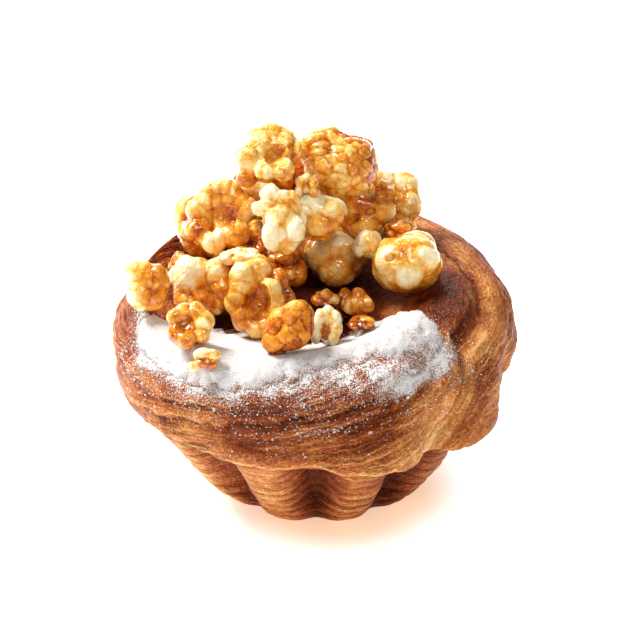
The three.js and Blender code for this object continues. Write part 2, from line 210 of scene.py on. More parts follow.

# Popcorn in a unit ball as seen from the front: the core's radius, then each lobe's place to the right, up
# and forward, its radius and its caramel; dents are cut out and hold the caramel given, dark partly as
# painted shade in their hollows; plates crack its skin
KERNELS = {
    "top_left": {
        "core": 0.58,
        "lobes": (
            (-0.62, 0.1, 0.25, 0.5, 0.0), (-0.35, 0.62, 0.1, 0.42, 0.05), (0.1, 0.78, 0.05, 0.34, 0.4),
            (0.5, 0.56, 0.05, 0.4, 0.15), (0.76, 0.15, 0.1, 0.36, 0.4), (-0.68, -0.58, 0.1, 0.36, 0.45),
            (-0.1, -0.42, 0.62, 0.3, 0.1), (0.5, -0.38, 0.58, 0.36, 0.1),
        ),
        "dents": ((0.26, 0.2, 0.82, 0.48, 0.85),),
    },
    "top_right": {"core": 0.9, "plates": 90, "lobes": ((-0.25, 0.86, 0.1, 0.2, 0.1),), "puff": 0.07},
    "top_curl": {
        "core": 0.2,
        "lobes": (
            (-0.6, -0.4, 0.2, 0.36, 0.2), (-0.45, 0.3, 0.2, 0.38, 0.15), (0.1, 0.6, 0.2, 0.38, 0.1),
            (0.6, 0.2, 0.2, 0.38, 0.2), (0.65, -0.45, 0.2, 0.34, 0.3),
        ),
        "dents": ((0.05, -0.1, 0.5, 0.3, 0.8),),
    },
    "left_shoulder": {
        "core": 0.6,
        "lobes": (
            (-0.35, 0.68, 0.2, 0.42, 0.05), (0.25, 0.74, 0.2, 0.4, 0.25), (0.7, 0.3, 0.25, 0.4, 0.3),
            (-0.8, 0.22, 0.1, 0.36, 0.15), (-0.76, -0.35, 0.3, 0.34, 0.35), (-0.2, -0.7, 0.42, 0.34, 0.0),
            (0.5, -0.5, 0.35, 0.42, 0.35),
        ),
        "dents": ((0.08, 0.08, 0.86, 0.52, 0.78), (-0.5, -0.08, 0.8, 0.28, 0.95)),
        "caramel": -0.06,
    },
    "middle_left": {
        "core": 0.5,
        "lobes": (
            (-0.4, 0.72, 0.3, 0.38, 0.0), (0.32, 0.56, 0.3, 0.42, 0.0), (-0.88, 0.42, 0.1, 0.2, 0.1),
            (0.0, 0.08, 0.3, 0.56, 0.1), (-0.26, -0.5, 0.46, 0.46, 0.0), (0.56, -0.36, 0.5, 0.4, 0.05),
            (0.2, -0.8, 0.1, 0.3, 0.2),
        ),
        "dents": ((-0.42, 0.7, 0.74, 0.15, 0.7),),
    },
    "middle": {
        "core": 0.78,
        "lobes": ((-0.35, 0.3, 0.4, 0.58, 0.0), (0.4, 0.2, 0.4, 0.56, 0.1), (0.1, -0.4, 0.45, 0.56, 0.35)),
        "dents": ((-0.45, 0.52, 0.8, 0.17, 0.6),),
    },
    "right_shoulder": {
        "core": 0.5,
        "lobes": (
            (-0.4, 0.64, 0.2, 0.42, -0.05), (0.4, 0.5, 0.1, 0.5, 0.15), (0.5, -0.1, 0.35, 0.5, 0.15),
            (-0.32, -0.05, 0.4, 0.45, 0.5), (0.2, -0.65, 0.3, 0.45, 0.35),
        ),
        "caramel": -0.06,
    },
    "middle_right": {
        "core": 0.7,
        "lobes": ((-0.25, 0.4, 0.4, 0.58, 0.4), (0.42, 0.2, 0.42, 0.58, 0.28), (0.0, -0.42, 0.5, 0.55, 0.36)),
        "dents": ((0.1, 0.1, 1.05, 0.22, 0.8), (-0.4, -0.2, 1.0, 0.2, 0.9)),
    },
    "bead": {
        "core": 0.72,
        "lobes": (
            (0.0, 0.12, 0.25, 0.7, -0.05), (-0.45, -0.3, 0.3, 0.42, 0.05), (0.42, -0.3, 0.2, 0.48, 0.1),
        ),
        "puff": 0.06,
        "caramel": -0.1,
    },
    "glossy": {
        "core": 0.78,
        # Paler lobes than its golden glaze: painted light on a kernel that sits in shade
        "lobes": (
            (-0.36, 0.1, 0.45, 0.58, 0.14), (0.36, 0.1, 0.45, 0.56, 0.12), (0.05, 0.3, 0.54, 0.52, -0.24),
            (0.0, -0.46, 0.54, 0.54, 0.28), (0.05, 0.86, 0.15, 0.22, 0.2),
        ),
        "puff": 0.06,
    },
    "right_oval": {
        "core": 0.92,
        "lobes": (
            (-0.32, 0.05, 0.4, 0.5, 0.24), (0.32, 0.1, 0.4, 0.5, -0.04), (0.05, 0.36, 0.3, 0.5, 0.04),
            (0.0, -0.32, 0.38, 0.5, 0.06),
        ),
        "dents": ((-0.5, 0.1, 0.98, 0.16, 0.55), (-0.62, -0.3, 0.86, 0.12, 0.6)),
        "puff": 0.08,
    },
    "left_pair": {
        "core": 0.56,
        "lobes": (
            (-0.36, 0.25, 0.3, 0.62, 0.0), (0.46, 0.36, 0.3, 0.46, 0.05), (0.62, -0.1, 0.4, 0.35, 0.35),
            (0.0, -0.5, 0.5, 0.42, 0.3), (0.46, -0.66, 0.35, 0.3, 0.1), (-0.56, -0.45, 0.35, 0.36, 0.25),
        ),
        "caramel": -0.06,
    },
    "left_rim": {
        "core": 0.62,
        "lobes": (
            (-0.3, 0.4, 0.3, 0.58, 0.05), (0.36, 0.2, 0.4, 0.6, 0.38), (-0.26, -0.36, 0.4, 0.58, 0.05),
            (0.3, -0.4, 0.3, 0.55, 0.4),
        ),
        "dents": ((-0.55, -0.86, 0.5, 0.24, 0.85),),
        "puff": 0.09,
        # Darker partly from more caramel, partly as painted shade low in the heap
        "caramel": 0.08,
    },
    "front_cup": {
        "core": 0.66,
        "lobes": (
            (-0.74, 0.42, 0.3, 0.34, 0.0), (-0.28, 0.62, 0.15, 0.42, 0.0), (0.3, 0.62, 0.2, 0.44, 0.05),
            (0.7, 0.2, 0.3, 0.46, -0.05), (0.62, -0.34, 0.35, 0.38, 0.1), (-0.12, -0.56, 0.5, 0.44, 0.45),
            (-0.6, -0.3, 0.3, 0.44, 0.45),
        ),
        "dents": ((-0.2, 0.16, 1.02, 0.56, 0.62),),
        "puff": 0.1,
        "caramel": 0.14,
    },
    "front_flake": {
        "core": 0.2,
        "lobes": (
            (-0.1, 0.45, 0.3, 0.42, 0.0), (0.5, 0.36, 0.3, 0.4, 0.0), (-0.62, -0.5, 0.3, 0.36, 0.05),
            (0.0, -0.25, 0.2, 0.42, 0.85), (0.32, -0.3, 0.2, 0.36, 0.85),
        ),
    },
    "left_flake": {
        "core": 0.2,
        "lobes": (
            (-0.6, 0.1, 0.3, 0.4, 0.1), (0.0, 0.36, 0.3, 0.42, 0.0), (0.55, 0.25, 0.3, 0.45, 0.0),
            (0.1, -0.4, 0.3, 0.4, 0.35),
        ),
        "dents": ((-0.3, 0.2, 0.76, 0.24, 0.65),),
    },
    "butterfly": {
        "core": 0.62,
        "lobes": (
            (-0.55, 0.45, 0.35, 0.45, 0.05), (-0.05, 0.75, 0.2, 0.42, 0.05), (-0.76, -0.1, 0.35, 0.36, 0.3),
            (-0.56, -0.55, 0.4, 0.34, 0.35), (-0.2, -0.85, 0.36, 0.28, 0.0), (0.25, -0.7, 0.42, 0.3, 0.0),
            (0.46, -0.26, 0.52, 0.26, 0.0), (0.34, 0.2, 0.56, 0.26, 0.0), (0.6, 0.5, 0.25, 0.3, 0.3),
            (0.85, 0.0, 0.2, 0.26, 0.3),
        ),
        "dents": ((-0.1, -0.1, 0.86, 0.44, 0.9),),
        # Darker partly from more caramel, partly as painted shade low in the heap
        "caramel": 0.18,
    },
    "front_lump": {
        # Darker partly from more caramel, partly as painted shade low in the heap
        "core": 0.62, "plates": 34, "puff": 0.05, "caramel": 0.52, "glaze": 0.2,
        "lobes": (
            (-0.42, -0.46, 0.3, 0.52, 0.3), (0.36, 0.42, 0.2, 0.52, 0.3), (0.12, -0.24, 0.35, 0.58, 0.3),
            (-0.14, 0.16, 0.3, 0.54, 0.3), (0.42, -0.05, 0.25, 0.48, 0.3),
        ),
    },
    "front_curl": {
        "core": 0.2,
        "lobes": (
            (-0.6, -0.5, 0.3, 0.32, 0.0), (-0.58, 0.0, 0.32, 0.34, 0.0), (-0.3, 0.42, 0.32, 0.36, 0.05),
            (0.15, 0.56, 0.3, 0.38, 0.05), (0.52, 0.3, 0.32, 0.4, 0.05), (0.62, -0.12, 0.32, 0.4, 0.05),
            (0.45, -0.6, 0.3, 0.34, 0.15), (-0.05, -0.25, 0.0, 0.42, 0.95),
        ),
        "blend": 0.03,
        "puff": 0.05,
    },
    "small_a": {
        "core": 0.3,
        "lobes": (
            (-0.5, 0.0, 0.2, 0.5, 0.5), (0.0, 0.4, 0.3, 0.45, 0.4), (0.6, 0.1, 0.3, 0.42, 0.1),
            (0.0, -0.4, 0.1, 0.4, 0.85),
        ),
    },
    "small_b": {
        "core": 0.3,
        "lobes": (
            (0.0, 0.5, 0.2, 0.4, 0.7), (-0.3, -0.1, 0.4, 0.45, 0.3), (0.4, 0.0, 0.4, 0.45, 0.2),
            (0.1, -0.5, 0.2, 0.4, 0.85),
        ),
    },
}
KERNEL_BLEND = 0.085
KERNEL_PUFF = 0.13
CREASE_WIDTH = 0.06
SKIN_REACH = 0.3
# The view that the places above are seen from: forward leans up from the front by this angle
KERNEL_VIEW = math.radians(32)
CORE_BEHIND = 0.15
CORE_CARAMEL = 0.35

# Wrinkles of a kernel in its unit ball: how far its skin swirls, its folds, and the grooves of its plates
SWIRL_SIZE = 0.5
SWIRL_REACH = 0.13
FOLD_SIZES = (0.56, 0.28, 0.14)
FOLD_SHARES = (1, 0.36, 0.14)
FOLD_MIDDLE = 0.3
GROOVE_WIDTH = 0.06
GROOVE_DEPTH = 0.045

# Caramel on a kernel: in creases, as lines along its folds (strength, width), and in clouds (strength, size)
CREASE_CARAMEL = 0.3
FOLD_LINES = ((0.28, 0.11), (0.1, 0.12))
CARAMEL_CLOUDS = ((0.26, 0.8), (0.08, 0.36))
HIGH_CARAMEL = -0.3
BARE_CARAMEL = -0.05
GROOVE_CARAMEL = 0.2
PLATE_SHARE = 0.6
MOST_CARAMEL = 0.8
POOL_UNEVEN = 0.35
POOL_MIDDLE = 0.4
POOL_EDGE = (-0.05, 0.08)

# Lobes behind a kernel that has a row above, and the caramel of lobes with none given
HIDDEN_LOBES = {"tries": 9, "behind": 0.15, "reach": 0.85, "size": 0.42}
LOBE_CARAMEL = (0, 0.4)
LEAST_HIDDEN_CORE = 0.45

# Kernels with no row above take their lobes from a rule: number, distance, radius and core
PLAIN_KERNEL = {"lobes": 7, "reach": 0.48, "size": 0.46, "core": 0.56}
PLAIN_CARAMEL = {"popcorn_golden": 0.12, "popcorn_cream": 0.0, "popcorn_amber": 0.34}
# A kernel this wide in millimetres gets the whole net, and no kernel gets less than the least
FINE_KERNEL = 20
LEAST_NET = 34
GOLDEN_ANGLE = math.pi * (3 - math.sqrt(5))
CORNERS = np.array([(x, y, z) for x in (0, 1) for y in (0, 1) for z in (0, 1)])

# Noise in the materials, in bumps a metre, and how far the crust's noise is drawn out along its layers
CRUST_NOISE = {
    "wander": 95, "torn": 170, "thin_torn": 240, "streaks": 420,
    "mottle": 330, "blisters": 1250, "dust": 2900,
}
TORN_SHRINK = 0.26
STREAK_SHRINK = 0.32
LAYER_WANDER = 2.4
DUST_ROUGHNESS = 0.4
SUGAR_NOISE = {"grain": 2400, "specks": 3000}
POPCORN_NOISE = {"clouds": 230, "specks": 900, "wander": 260, "cracks": 430}
CRACK_WANDER = 0.003
CARAMEL_TINTS = {
    "popcorn_golden": ("caramel_golden", 0.18),
    "popcorn_cream": ("caramel_cream", 0.12),
    "popcorn_amber": ("caramel_amber", 0.16),
}

# Studio in metres: each light's place, size and setting, what they light, and the camera's shift
LIGHTS = {
    "key_light": ((-0.7, 0.36, 1.0), 0.6, "key_power"),
    "front_light": ((0.2, -0.6, 0.9), 0.4, "fill_power"),
    "back_light": ((-0.2, 1.3, 0.6), 1.0, "back_power"),
}
LIT_PLACE = Vector((0, 0, 0.05))
CAMERA_ASIDE = Vector((0.0006, 0, 0))

# Floor: half its side and its drop in millimetres, lines of its net, and its patch of painted warm bounce
# light in metres
FLOOR_HALF = 4000
FLOOR_DROP = 0.05
FLOOR_LINES = 9
BOUNCE_MIDDLE = (0.005, -0.01, 0)
BOUNCE_FADE = (0.022, 0.038)


# Shared maths

def smoothstep(value, low, high):
    share = np.clip((value - low) / (high - low), 0, 1)
    return share * share * (3 - 2 * share)


def lerp(first, second, share):
    return first + (second - first) * share


def bell(value, middle, width):
    return np.exp(-((value - middle) / width) ** 2)


def scatter_value(cells, seed):
    """A fixed random number from 0 to 1 for each whole-numbered cell"""
    mixed = cells[..., 0] * 374761393 + cells[..., 1] * 668265263 + cells[..., 2] * 1442695041
    mixed = (mixed + seed * 974634777) & 0xFFFFFFFF
    mixed = ((mixed ^ (mixed >> 13)) * 1274126177) & 0xFFFFFFFF
    return (mixed ^ (mixed >> 16)) / 0xFFFFFFFF


def soft_noise(points, size, seed):
    """Smooth noise from -1 to 1 over points, with bumps of about one size"""
    spots = points / size
    cells = np.floor(spots).astype(np.int64)
    shares = spots - cells
    shares = shares * shares * (3 - 2 * shares)
    total = 0
    for corner in CORNERS:
        weight = np.prod(np.where(corner, shares, 1 - shares), axis=-1)
        total = total + weight * scatter_value(cells + corner, seed)
    return 2 * total - 1


def layered_noise(points, layers):
    """Noise of several sizes: the strength, size and seed of each layer"""
    return sum(strength * soft_noise(points, size, seed) for strength, size, seed in layers)


def unit(vectors):
    return vectors / np.linalg.norm(vectors, axis=-1, keepdims=True)


def make_piece(name, points, faces, material, attributes=None):
    """A smooth mesh object from points in millimetres, with float attributes on its points"""
    mesh = bpy.data.meshes.new(name)
    mesh.from_pydata((np.asarray(points) * MM).tolist(), [], [list(map(int, face)) for face in faces])
    mesh.validate()
    for key, values in (attributes or {}).items():
        layer = mesh.attributes.new(key, "FLOAT", "POINT")
        layer.data.foreach_set("value", np.asarray(values, dtype=np.float32).ravel())
    mesh.polygons.foreach_set("use_smooth", np.ones(len(mesh.polygons), dtype=bool))
    mesh.materials.append(material)
    mesh.update()
    piece = bpy.data.objects.new(name, mesh)
    bpy.context.scene.collection.objects.link(piece)
    return piece


def grid_quads(lines, columns, closed):
    """Quads of a net of points stored line by line; closed nets join their last column to the first"""
    last = columns if closed else columns - 1
    line, column = np.meshgrid(np.arange(lines - 1), np.arange(last), indexing="ij")
    after = (column + 1) % columns
    quads = np.stack([
        line * columns + column, line * columns + after,
        (line + 1) * columns + after, (line + 1) * columns + column,
    ], axis=-1)
    return quads.reshape(-1, 4)


# Form of the bun

def along_outline(outline, row):
    first = np.floor(row).astype(int)
    share = (row - first)[..., None]
    before, here, after, later = (outline[np.clip(first + k, 0, LAST_ROW)] for k in (-1, 0, 1, 2))
    leave = (after - before) / 2
    arrive = (later - here) / 2
    cubic = 2 * here - 2 * after + leave + arrive
    square = -3 * here + 3 * after - 2 * leave - arrive
    return ((cubic * share + square) * share + leave) * share + here


def lobed_share(azimuth):
    return smoothstep(0.5 + 0.5 * np.cos(azimuth - LOBED_FACING), *LOBED_SPREAD) ** 2


def tuck_in(azimuth, row):
    """How far the crown's foot tucks in behind its last lobe"""
    turned = (azimuth - TUCK["facing"] + math.pi) % (2 * math.pi) - math.pi
    return TUCK["depth"] * bell(turned, 0, TUCK["width"]) * bell(row, TUCK["row"], TUCK["rows"])


def flute_valley(azimuth):
    return (0.5 - 0.5 * np.cos(FLUTES * (azimuth - FLUTE_FACING))) ** VALLEY_NARROWING


def bun_point(azimuth, row):
    """Points of the bun's plain form: azimuth from the front towards +X, row from foot to hollow"""
    share = lobed_share(azimuth)
    smooth_side = along_outline(SMOOTH_SIDE, row)
    spot = lerp(smooth_side, along_outline(LOBED_SIDE, row), share[..., None])
    lean = LEAN * smoothstep(row, *LEAN_ROWS) * (1 - smoothstep(row, RIM_ROW, LAST_ROW))
    height = spot[..., 1] + lean * np.cos(azimuth - LEAN_FACING)
    wall = lerp(*FLUTE_DEPTHS, smoothstep(height, *FLUTE_DEEPENS))
    flute = wall * (1 - smoothstep(height, *FLUTE_ENDS))
    fall = smoothstep(height, *CROWN_LOBE_STARTS) * (1 - smoothstep(height, *CROWN_LOBE_ENDS))
    cut = flute_valley(azimuth) * (flute + CROWN_LOBE_DEPTH * share * fall)
    radius = spot[..., 0] - tuck_in(azimuth, row) - np.where(row < RIM_ROW, cut, 0)
    crown_shift = CROWN_SHIFT * smoothstep(row, *CROWN_SHIFT_ROWS)[..., None]
    shift = lerp(crown_shift, HOLLOW_MIDDLE, smoothstep(row, *HOLLOW_SHIFT_ROWS)[..., None])
    return np.stack([
        radius * np.sin(azimuth) + shift[..., 0],
        -radius * np.cos(azimuth) + shift[..., 1],
        height,
    ], axis=-1)


def bun_normal(azimuth, row):
    above = np.minimum(row + NORMAL_STEP, LAST_ROW)
    below = np.maximum(row - NORMAL_STEP, 0)
    around = bun_point(azimuth + NORMAL_STEP, row) - bun_point(azimuth - NORMAL_STEP, row)
    upward = bun_point(azimuth, above) - bun_point(azimuth, below)
    return unit(np.cross(around, upward))


# Layers of the crust

def from_front(azimuth):
    """Azimuth in degrees, from -180 to 180, below zero to the left of the front"""
    return (np.degrees(azimuth) + 180) % 360 - 180


def from_seam_start(azimuth):
    """Azimuth in degrees, counted on from where the rolled strip starts"""
    return (np.degrees(azimuth) - SEAM_FROM) % 360 + SEAM_FROM


def seam_row(azimuth):
    turned = from_seam_start(azimuth)
    return SEAM_ROW + sum(rise * smoothstep(turned, start, end) for start, end, rise in SEAM_RISES)


def layer_height(azimuth, row, height):
    """Place across the layers in mm: level on the foot, tilted on the crown, along the seam outside it"""
    level = height - RING_RISE * flute_valley(azimuth) * smoothstep(height, 2, 22)
    seam = seam_row(azimuth)
    strip = row - seam + SEAM_ROW
    flap = row - FLAP_TILT * np.sin(azimuth)
    inside = smoothstep(row - seam, -0.06, 0.06)
    behind = smoothstep(from_seam_start(azimuth), 120, 260)
    first_row, first_height = LAYERS_FROM
    wound = first_height + ROW_LENGTH * (lerp(strip, flap, np.maximum(inside, behind)) - first_row)
    return lerp(level, wound, smoothstep(row, 3.9, 5.0))


def ridges(layer, pitch, base, seed):
    """Rounded ridges with sharp grooves, each ridge of its own strength"""
    warped = layer / pitch + 0.3 * soft_noise(base, 11, seed) + 0.12 * soft_noise(base, 3, seed + 1)
    index = np.floor(warped).astype(np.int64)
    strength = 0.45 + 0.55 * scatter_value(np.stack([index] * 3, axis=-1), seed)
    return (np.abs(np.sin(math.pi * warped)) ** 0.6 - 0.6) * strength


def shingles(layer, pitch, base, seed):
    """Layers that overlap like shingles: how far each stands out, and its broken pale edge"""
    warped = layer / pitch + 0.35 * soft_noise(base, 14, seed) + 0.16 * soft_noise(base, 3.5, seed + 1)
    index = np.floor(warped).astype(np.int64)
    phase = warped - index
    strength = scatter_value(np.stack([index] * 3, axis=-1), seed)
    broken = smoothstep(soft_noise(base, 7, seed + 2) + 1.2 * strength, 0.2, 0.9)
    height = smoothstep(phase, 0, 0.12) * (1 - phase)
    return broken * height, broken * bell(phase, 0.1, 0.09)


def ledge_relief(azimuth, row, base):
    """Relief of the strips' edges, with their pale lips and the painted shade in the creases below them"""
    relief = np.zeros(row.shape)
    lip = np.zeros(row.shape)
    crease = np.zeros(row.shape)
    for k, (start, end, first, climb, step, rag) in enumerate(LEDGES):
        turned = (np.degrees(azimuth) - start) % 360
        along = turned / (end - start)
        ends = smoothstep(along, 0, 0.12) * (1 - smoothstep(along, 0.8, 1))
        torn = rag * (soft_noise(base, 5, k) + 0.6 * soft_noise(base, 1.9, k + 40))
        across = row - first - climb * turned / 360 - torn
        raised = smoothstep(across, -0.1, 0.06) * (1 - smoothstep(across, 0.3, 1.4))
        relief += step * ends * (raised - 0.5 * bell(across, -0.26, 0.18))
        strength = ends * min(1, 1.3 * step)
        lip = np.maximum(lip, strength * bell(across, 0.04, 0.08))
        crease = np.maximum(crease, strength * bell(across, -0.18, 0.11))
    return relief, lip, crease


def seam_relief(azimuth, row, base):
    """The rolled strip's edge stands over the strip outside it"""
    turned = from_seam_start(azimuth)
    ends = smoothstep(turned, SEAM_FROM, SEAM_FROM + 25) * (1 - smoothstep(turned, SEAM_TO - 35, SEAM_TO))
    across = row - seam_row(azimuth) - layered_noise(base, SEAM_RAG)
    raised = smoothstep(across, -0.14, 0.06) * (1 - smoothstep(across, 0.3, 2.2))
    relief = SEAM_STEP * ends * (raised - 0.6 * bell(across, -0.3, 0.24))
    return relief, ends * bell(across, 0.05, 0.08), ends * bell(across, -0.2, 0.13)


def pocket_dent(azimuth, row):
    sideways = bell(from_front(azimuth), POCKET["azimuth"], POCKET["width"])
    return sideways * bell(row, POCKET["row"], POCKET["height"])


def flake_relief(base, layer):
    """Fine flakes that lie along the layers"""
    stretched = np.stack([base[..., 0] / FLAKE_LENGTH, base[..., 1] / FLAKE_LENGTH, layer], axis=-1)
    fine = np.abs(soft_noise(stretched, FLAKE_SIZE / 2, 16))
    return np.abs(soft_noise(stretched, FLAKE_SIZE, 15)) + 0.5 * fine


def foot_darkness(azimuth, rings, right):
    """Darkness of the fluted foot: pale ridges, valleys dark partly from baking and partly as painted shade,
    and painted shade on its right side
    """
    valley = flute_valley(azimuth)
    # Valleys darker partly from baking, partly as painted shade
    bake = lerp(DARKNESS_STEPS["ridge"], DARKNESS_STEPS["valley"], valley ** 0.8) + DARKNESS_STEPS["rings"] * rings
    # Painted shade on the foot's right side
    bake = bake + DARKNESS_STEPS["right_foot"] * right
    return bake + DARKNESS_STEPS["left_foot"] * bell(from_front(azimuth), -54, 20)


def crown_bake(azimuth, row, flake, right, edges):
    """Baking of the crown: darker towards its top, at its front and on the wall inside its right roll"""
    turned = from_front(azimuth)
    across = row - seam_row(azimuth)
    bake = lerp(DARKNESS_STEPS["crown_foot"], DARKNESS_STEPS["crown_top"], smoothstep(row, 5.0, 8.2))
    bake = bake + DARKNESS_STEPS["flakes"] * (flake - 0.35)
    bake = bake + DARKNESS_STEPS["front"] * bell(turned, 3, 22) * bell(row, 6.9, 0.9)
    bake = bake + DARKNESS_STEPS["left"] * bell(turned, -42, 18)
    outside = DARKNESS_STEPS["right_edge"] * smoothstep(-across, 0.6, 1.2)
    bake = bake + right * (outside + DARKNESS_STEPS["right_roll"] * smoothstep(across, 0, 0.3)) + edges
    wall = bell(turned, 63, 13) * bell(row, 9.0, 0.75) * smoothstep(across, -0.1, 0.2)
    return bake + DARKNESS_STEPS["right_wall"] * wall


def crust(azimuth, row):
    """Points of the finished crust, its plain normals, and what its colour depends on"""
    base = bun_point(azimuth, row)
    normal = bun_normal(azimuth, row)
    height = base[..., 2]
    layer = layer_height(azimuth, row, height)
    foot = 1 - smoothstep(row, *FOOT_TO_CROWN)
    crown = (1 - foot) * (1 - smoothstep(row, *CROWN_TO_RIM))
    standing = smoothstep(height, 0.2, 2.5)
    rings = ridges(layer, RING_PITCH, base, 3) * foot * standing * (1 - 0.55 * flute_valley(azimuth))
    broad, broad_edge = shingles(layer, BAND_PITCH, base, 5)
    thin, thin_edge = shingles(layer, STRIPE_PITCH, base, 9)
    ledge, lip, crease = ledge_relief(azimuth, row, base)
    seam, seam_lip, seam_crease = seam_relief(azimuth, row, base)
    dent = pocket_dent(azimuth, row)
    flake = flake_relief(base, layer)
    relief = (ledge + seam + layered_noise(base, CRUST_UNEVEN)) * standing + RING_RELIEF * rings
    relief = relief + crown * (BAND_RELIEF * broad + STRIPE_RELIEF * thin + FLAKE_RELIEF * (flake - 0.5))
    relief = relief - POCKET["depth"] * dent
    relief = np.where(row <= 0, 0, relief)

    right = smoothstep(np.cos(azimuth - RIGHT_FACING), 0.25, 0.75)
    pale_band = right * (1 - foot) * bell(row - seam_row(azimuth), -0.5, 0.42)
    edges = crown * (DARKNESS_STEPS["bands"] * broad_edge + DARKNESS_STEPS["stripes"] * thin_edge)
    outside = lerp(crown_bake(azimuth, row, flake, right, edges), foot_darkness(azimuth, rings, right), foot)
    rim = lerp(DARKNESS_STEPS["rim"], DARKNESS_STEPS["right_rim"], right)
    # The hollow under the popcorn is darkened as painted shade
    inside = lerp(rim, DARKNESS_STEPS["hollow"], smoothstep(row, 10.8, 11.8))
    bake = lerp(outside, inside, smoothstep(row, *RIM_TO_HOLLOW))
    bake = bake + layered_noise(base, BAKE_UNEVEN) + DARKNESS_STEPS["pale_band"] * pale_band
    bake = bake + DARKNESS_STEPS["lips"] * np.maximum(lip, seam_lip)
    # Creases below torn edges and the seam, and the pocket, are darkened as painted shade
    bake = bake + DARKNESS_STEPS["creases"] * np.maximum(crease, seam_crease) + DARKNESS_STEPS["pocket"] * dent
    looks = {
        "layer": layer,
        "strips": lerp(lerp(0.85, 0.62, right), 0.75, foot) * (1 - smoothstep(row, 9.8, 10.6)),
        "bake": np.clip(bake, 0, 1),
        "shine": smoothstep(row, 6.6, 8.5) * (1 - pale_band) * (1 - smoothstep(row, 10.4, 11.2)),
        "dust": sugar_dust(azimuth, row, base),
    }
    return base + normal * relief[..., None], normal, looks


# Icing sugar

def sugar_edges(azimuth):
    """Outer and inner rows of the sugar's crescent, and how far inside its ends an azimuth is, in degrees"""
    turned = from_front(azimuth)
    outer, inner = (np.interp(turned, SUGAR_EDGES[:, 0], SUGAR_EDGES[:, k]) for k in (1, 2))
    return outer, inner, np.minimum(turned - SUGAR_EDGES[0, 0], SUGAR_EDGES[-1, 0] - turned)


def sugar_tongue(azimuth, row):
    """A narrow drift of sugar below the crescent's right end"""
    turned = from_front(azimuth)
    middle = np.interp(turned, SUGAR_TONGUE[:, 0], SUGAR_TONGUE[:, 1])
    ends = smoothstep(turned, 12, 24) * (1 - smoothstep(turned, 44, 52))
    return ends * bell(row, middle, 0.36)


def sugar_dust(azimuth, row, base):
    """How densely loose sugar lies, from 0 to 1: it thins out below the crescent and at its ends"""
    outer, inner, within = sugar_edges(azimuth)
    turned = from_front(azimuth)
    below = np.maximum(outer - row, 0)
    reach = DUST["reach"] + DUST["front_reach"] * bell(turned, 8, 26)
    fade = np.exp(-below / reach) * (1 - smoothstep(row - inner, -0.1, 0.5))
    ledge = DUST["ledge"] * bell(turned, 5, 14) * bell(row - 0.034 * turned, 6.62, 0.16)
    shoulder = DUST["shoulder"] * smoothstep(turned, -14, 12) * (1 - smoothstep(turned, 42, 56))
    drift = DUST["drift"] * sugar_tongue(azimuth, row)
    dust = np.maximum(np.maximum(fade, drift), np.maximum(ledge, shoulder * bell(row, 8.3, 0.75)))
    ends = smoothstep(within, -9, 6) * (1 - smoothstep(turned, 46, 60))
    return np.clip(ends * dust * (DUST["clumps"] + layered_noise(base, DUST_CLUMPS)), 0, 1)


def sugar_depth(azimuth, row, base):
    """Height of the sugar over the crust, which shows where that is below zero, and how grainy it is, with
    painted shade at its right end
    """
    outer, inner, within = sugar_edges(azimuth)
    ragged = layered_noise(base, SUGAR_RAG)
    cover = 1 - smoothstep(row - inner + 3 * ragged, -0.9, 0.2)
    cover = cover * smoothstep(row - outer + ragged, -0.3, 0.6) * smoothstep(within + 12 * ragged, 0, 11)
    cover = np.maximum(cover, TONGUE_COVER * sugar_tongue(azimuth, row + 1.2 * ragged))
    depth = (SUGAR_THICKNESS + SUGAR_GAP + SUGAR_BURIED) * cover - SUGAR_BURIED
    depth = depth + layered_noise(base, SUGAR_LUMPS) * lerp(1.0, 0.24, cover)
    uneven = layered_noise(base, SUGAR_GRAINY)
    # The right end is grainier: its sugar is thinner, and its gaps of crust are also painted shade on the
    # mound
    grainy_shaded_end = (0.34 + uneven) * smoothstep(from_front(azimuth), 2, 34)
    return depth, np.clip(np.maximum(1 - 1.25 * cover + uneven, grainy_shaded_end), 0, 1)


def icosahedron():
    """Points and triangles of a regular ball of twenty faces"""
    long = (1 + math.sqrt(5)) / 2
    points = []
    for first in (-1, 1):
        for second in (-long, long):
            points += [(0, first, second), (first, second, 0), (second, 0, first)]
    points = unit(np.array(points))
    faces = []
    longest_side = 1.1
    for a in range(12):
        for b in range(a + 1, 12):
            for c in range(b + 1, 12):
                corners = points[[a, b, c]]
                sides = np.linalg.norm(corners - np.roll(corners, 1, axis=0), axis=-1)
                if sides.max() < longest_side:
                    facing = np.cross(corners[1] - corners[0], corners[2] - corners[0])
                    faces.append((a, b, c) if np.dot(facing, corners[0]) > 0 else (a, c, b))
    return points, np.array(faces)


# Popcorn

def on_ball(count, rng, jitter):
    """Directions spread evenly over a ball, then jittered"""
    order = np.arange(count) + 0.5
    height = 1 - 2 * order / count
    turn = order * GOLDEN_ANGLE + rng.uniform(0, 6.28)
    flat = np.sqrt(1 - height ** 2)
    ways = np.stack([flat * np.cos(turn), flat * np.sin(turn), height], axis=-1)
    return unit(ways + rng.normal(0, jitter, ways.shape))


def seen_ways():
    """Ways to the right, up and forward as seen from the front"""
    rise, fall = math.sin(KERNEL_VIEW), math.cos(KERNEL_VIEW)
    return np.array([(1, 0, 0), (0, rise, fall), (0, -fall, rise)])


def seen_places(rows):
    """Places in the kernel, with radius and caramel, from places as seen from the front"""
    rows = np.array(rows, dtype=float).reshape(-1, 5)
    right, upward, forward = seen_ways()
    places = rows[:, :1] * right + rows[:, 1:2] * upward + rows[:, 2:3] * forward
    return list(zip(places, rows[:, 3], rows[:, 4]))


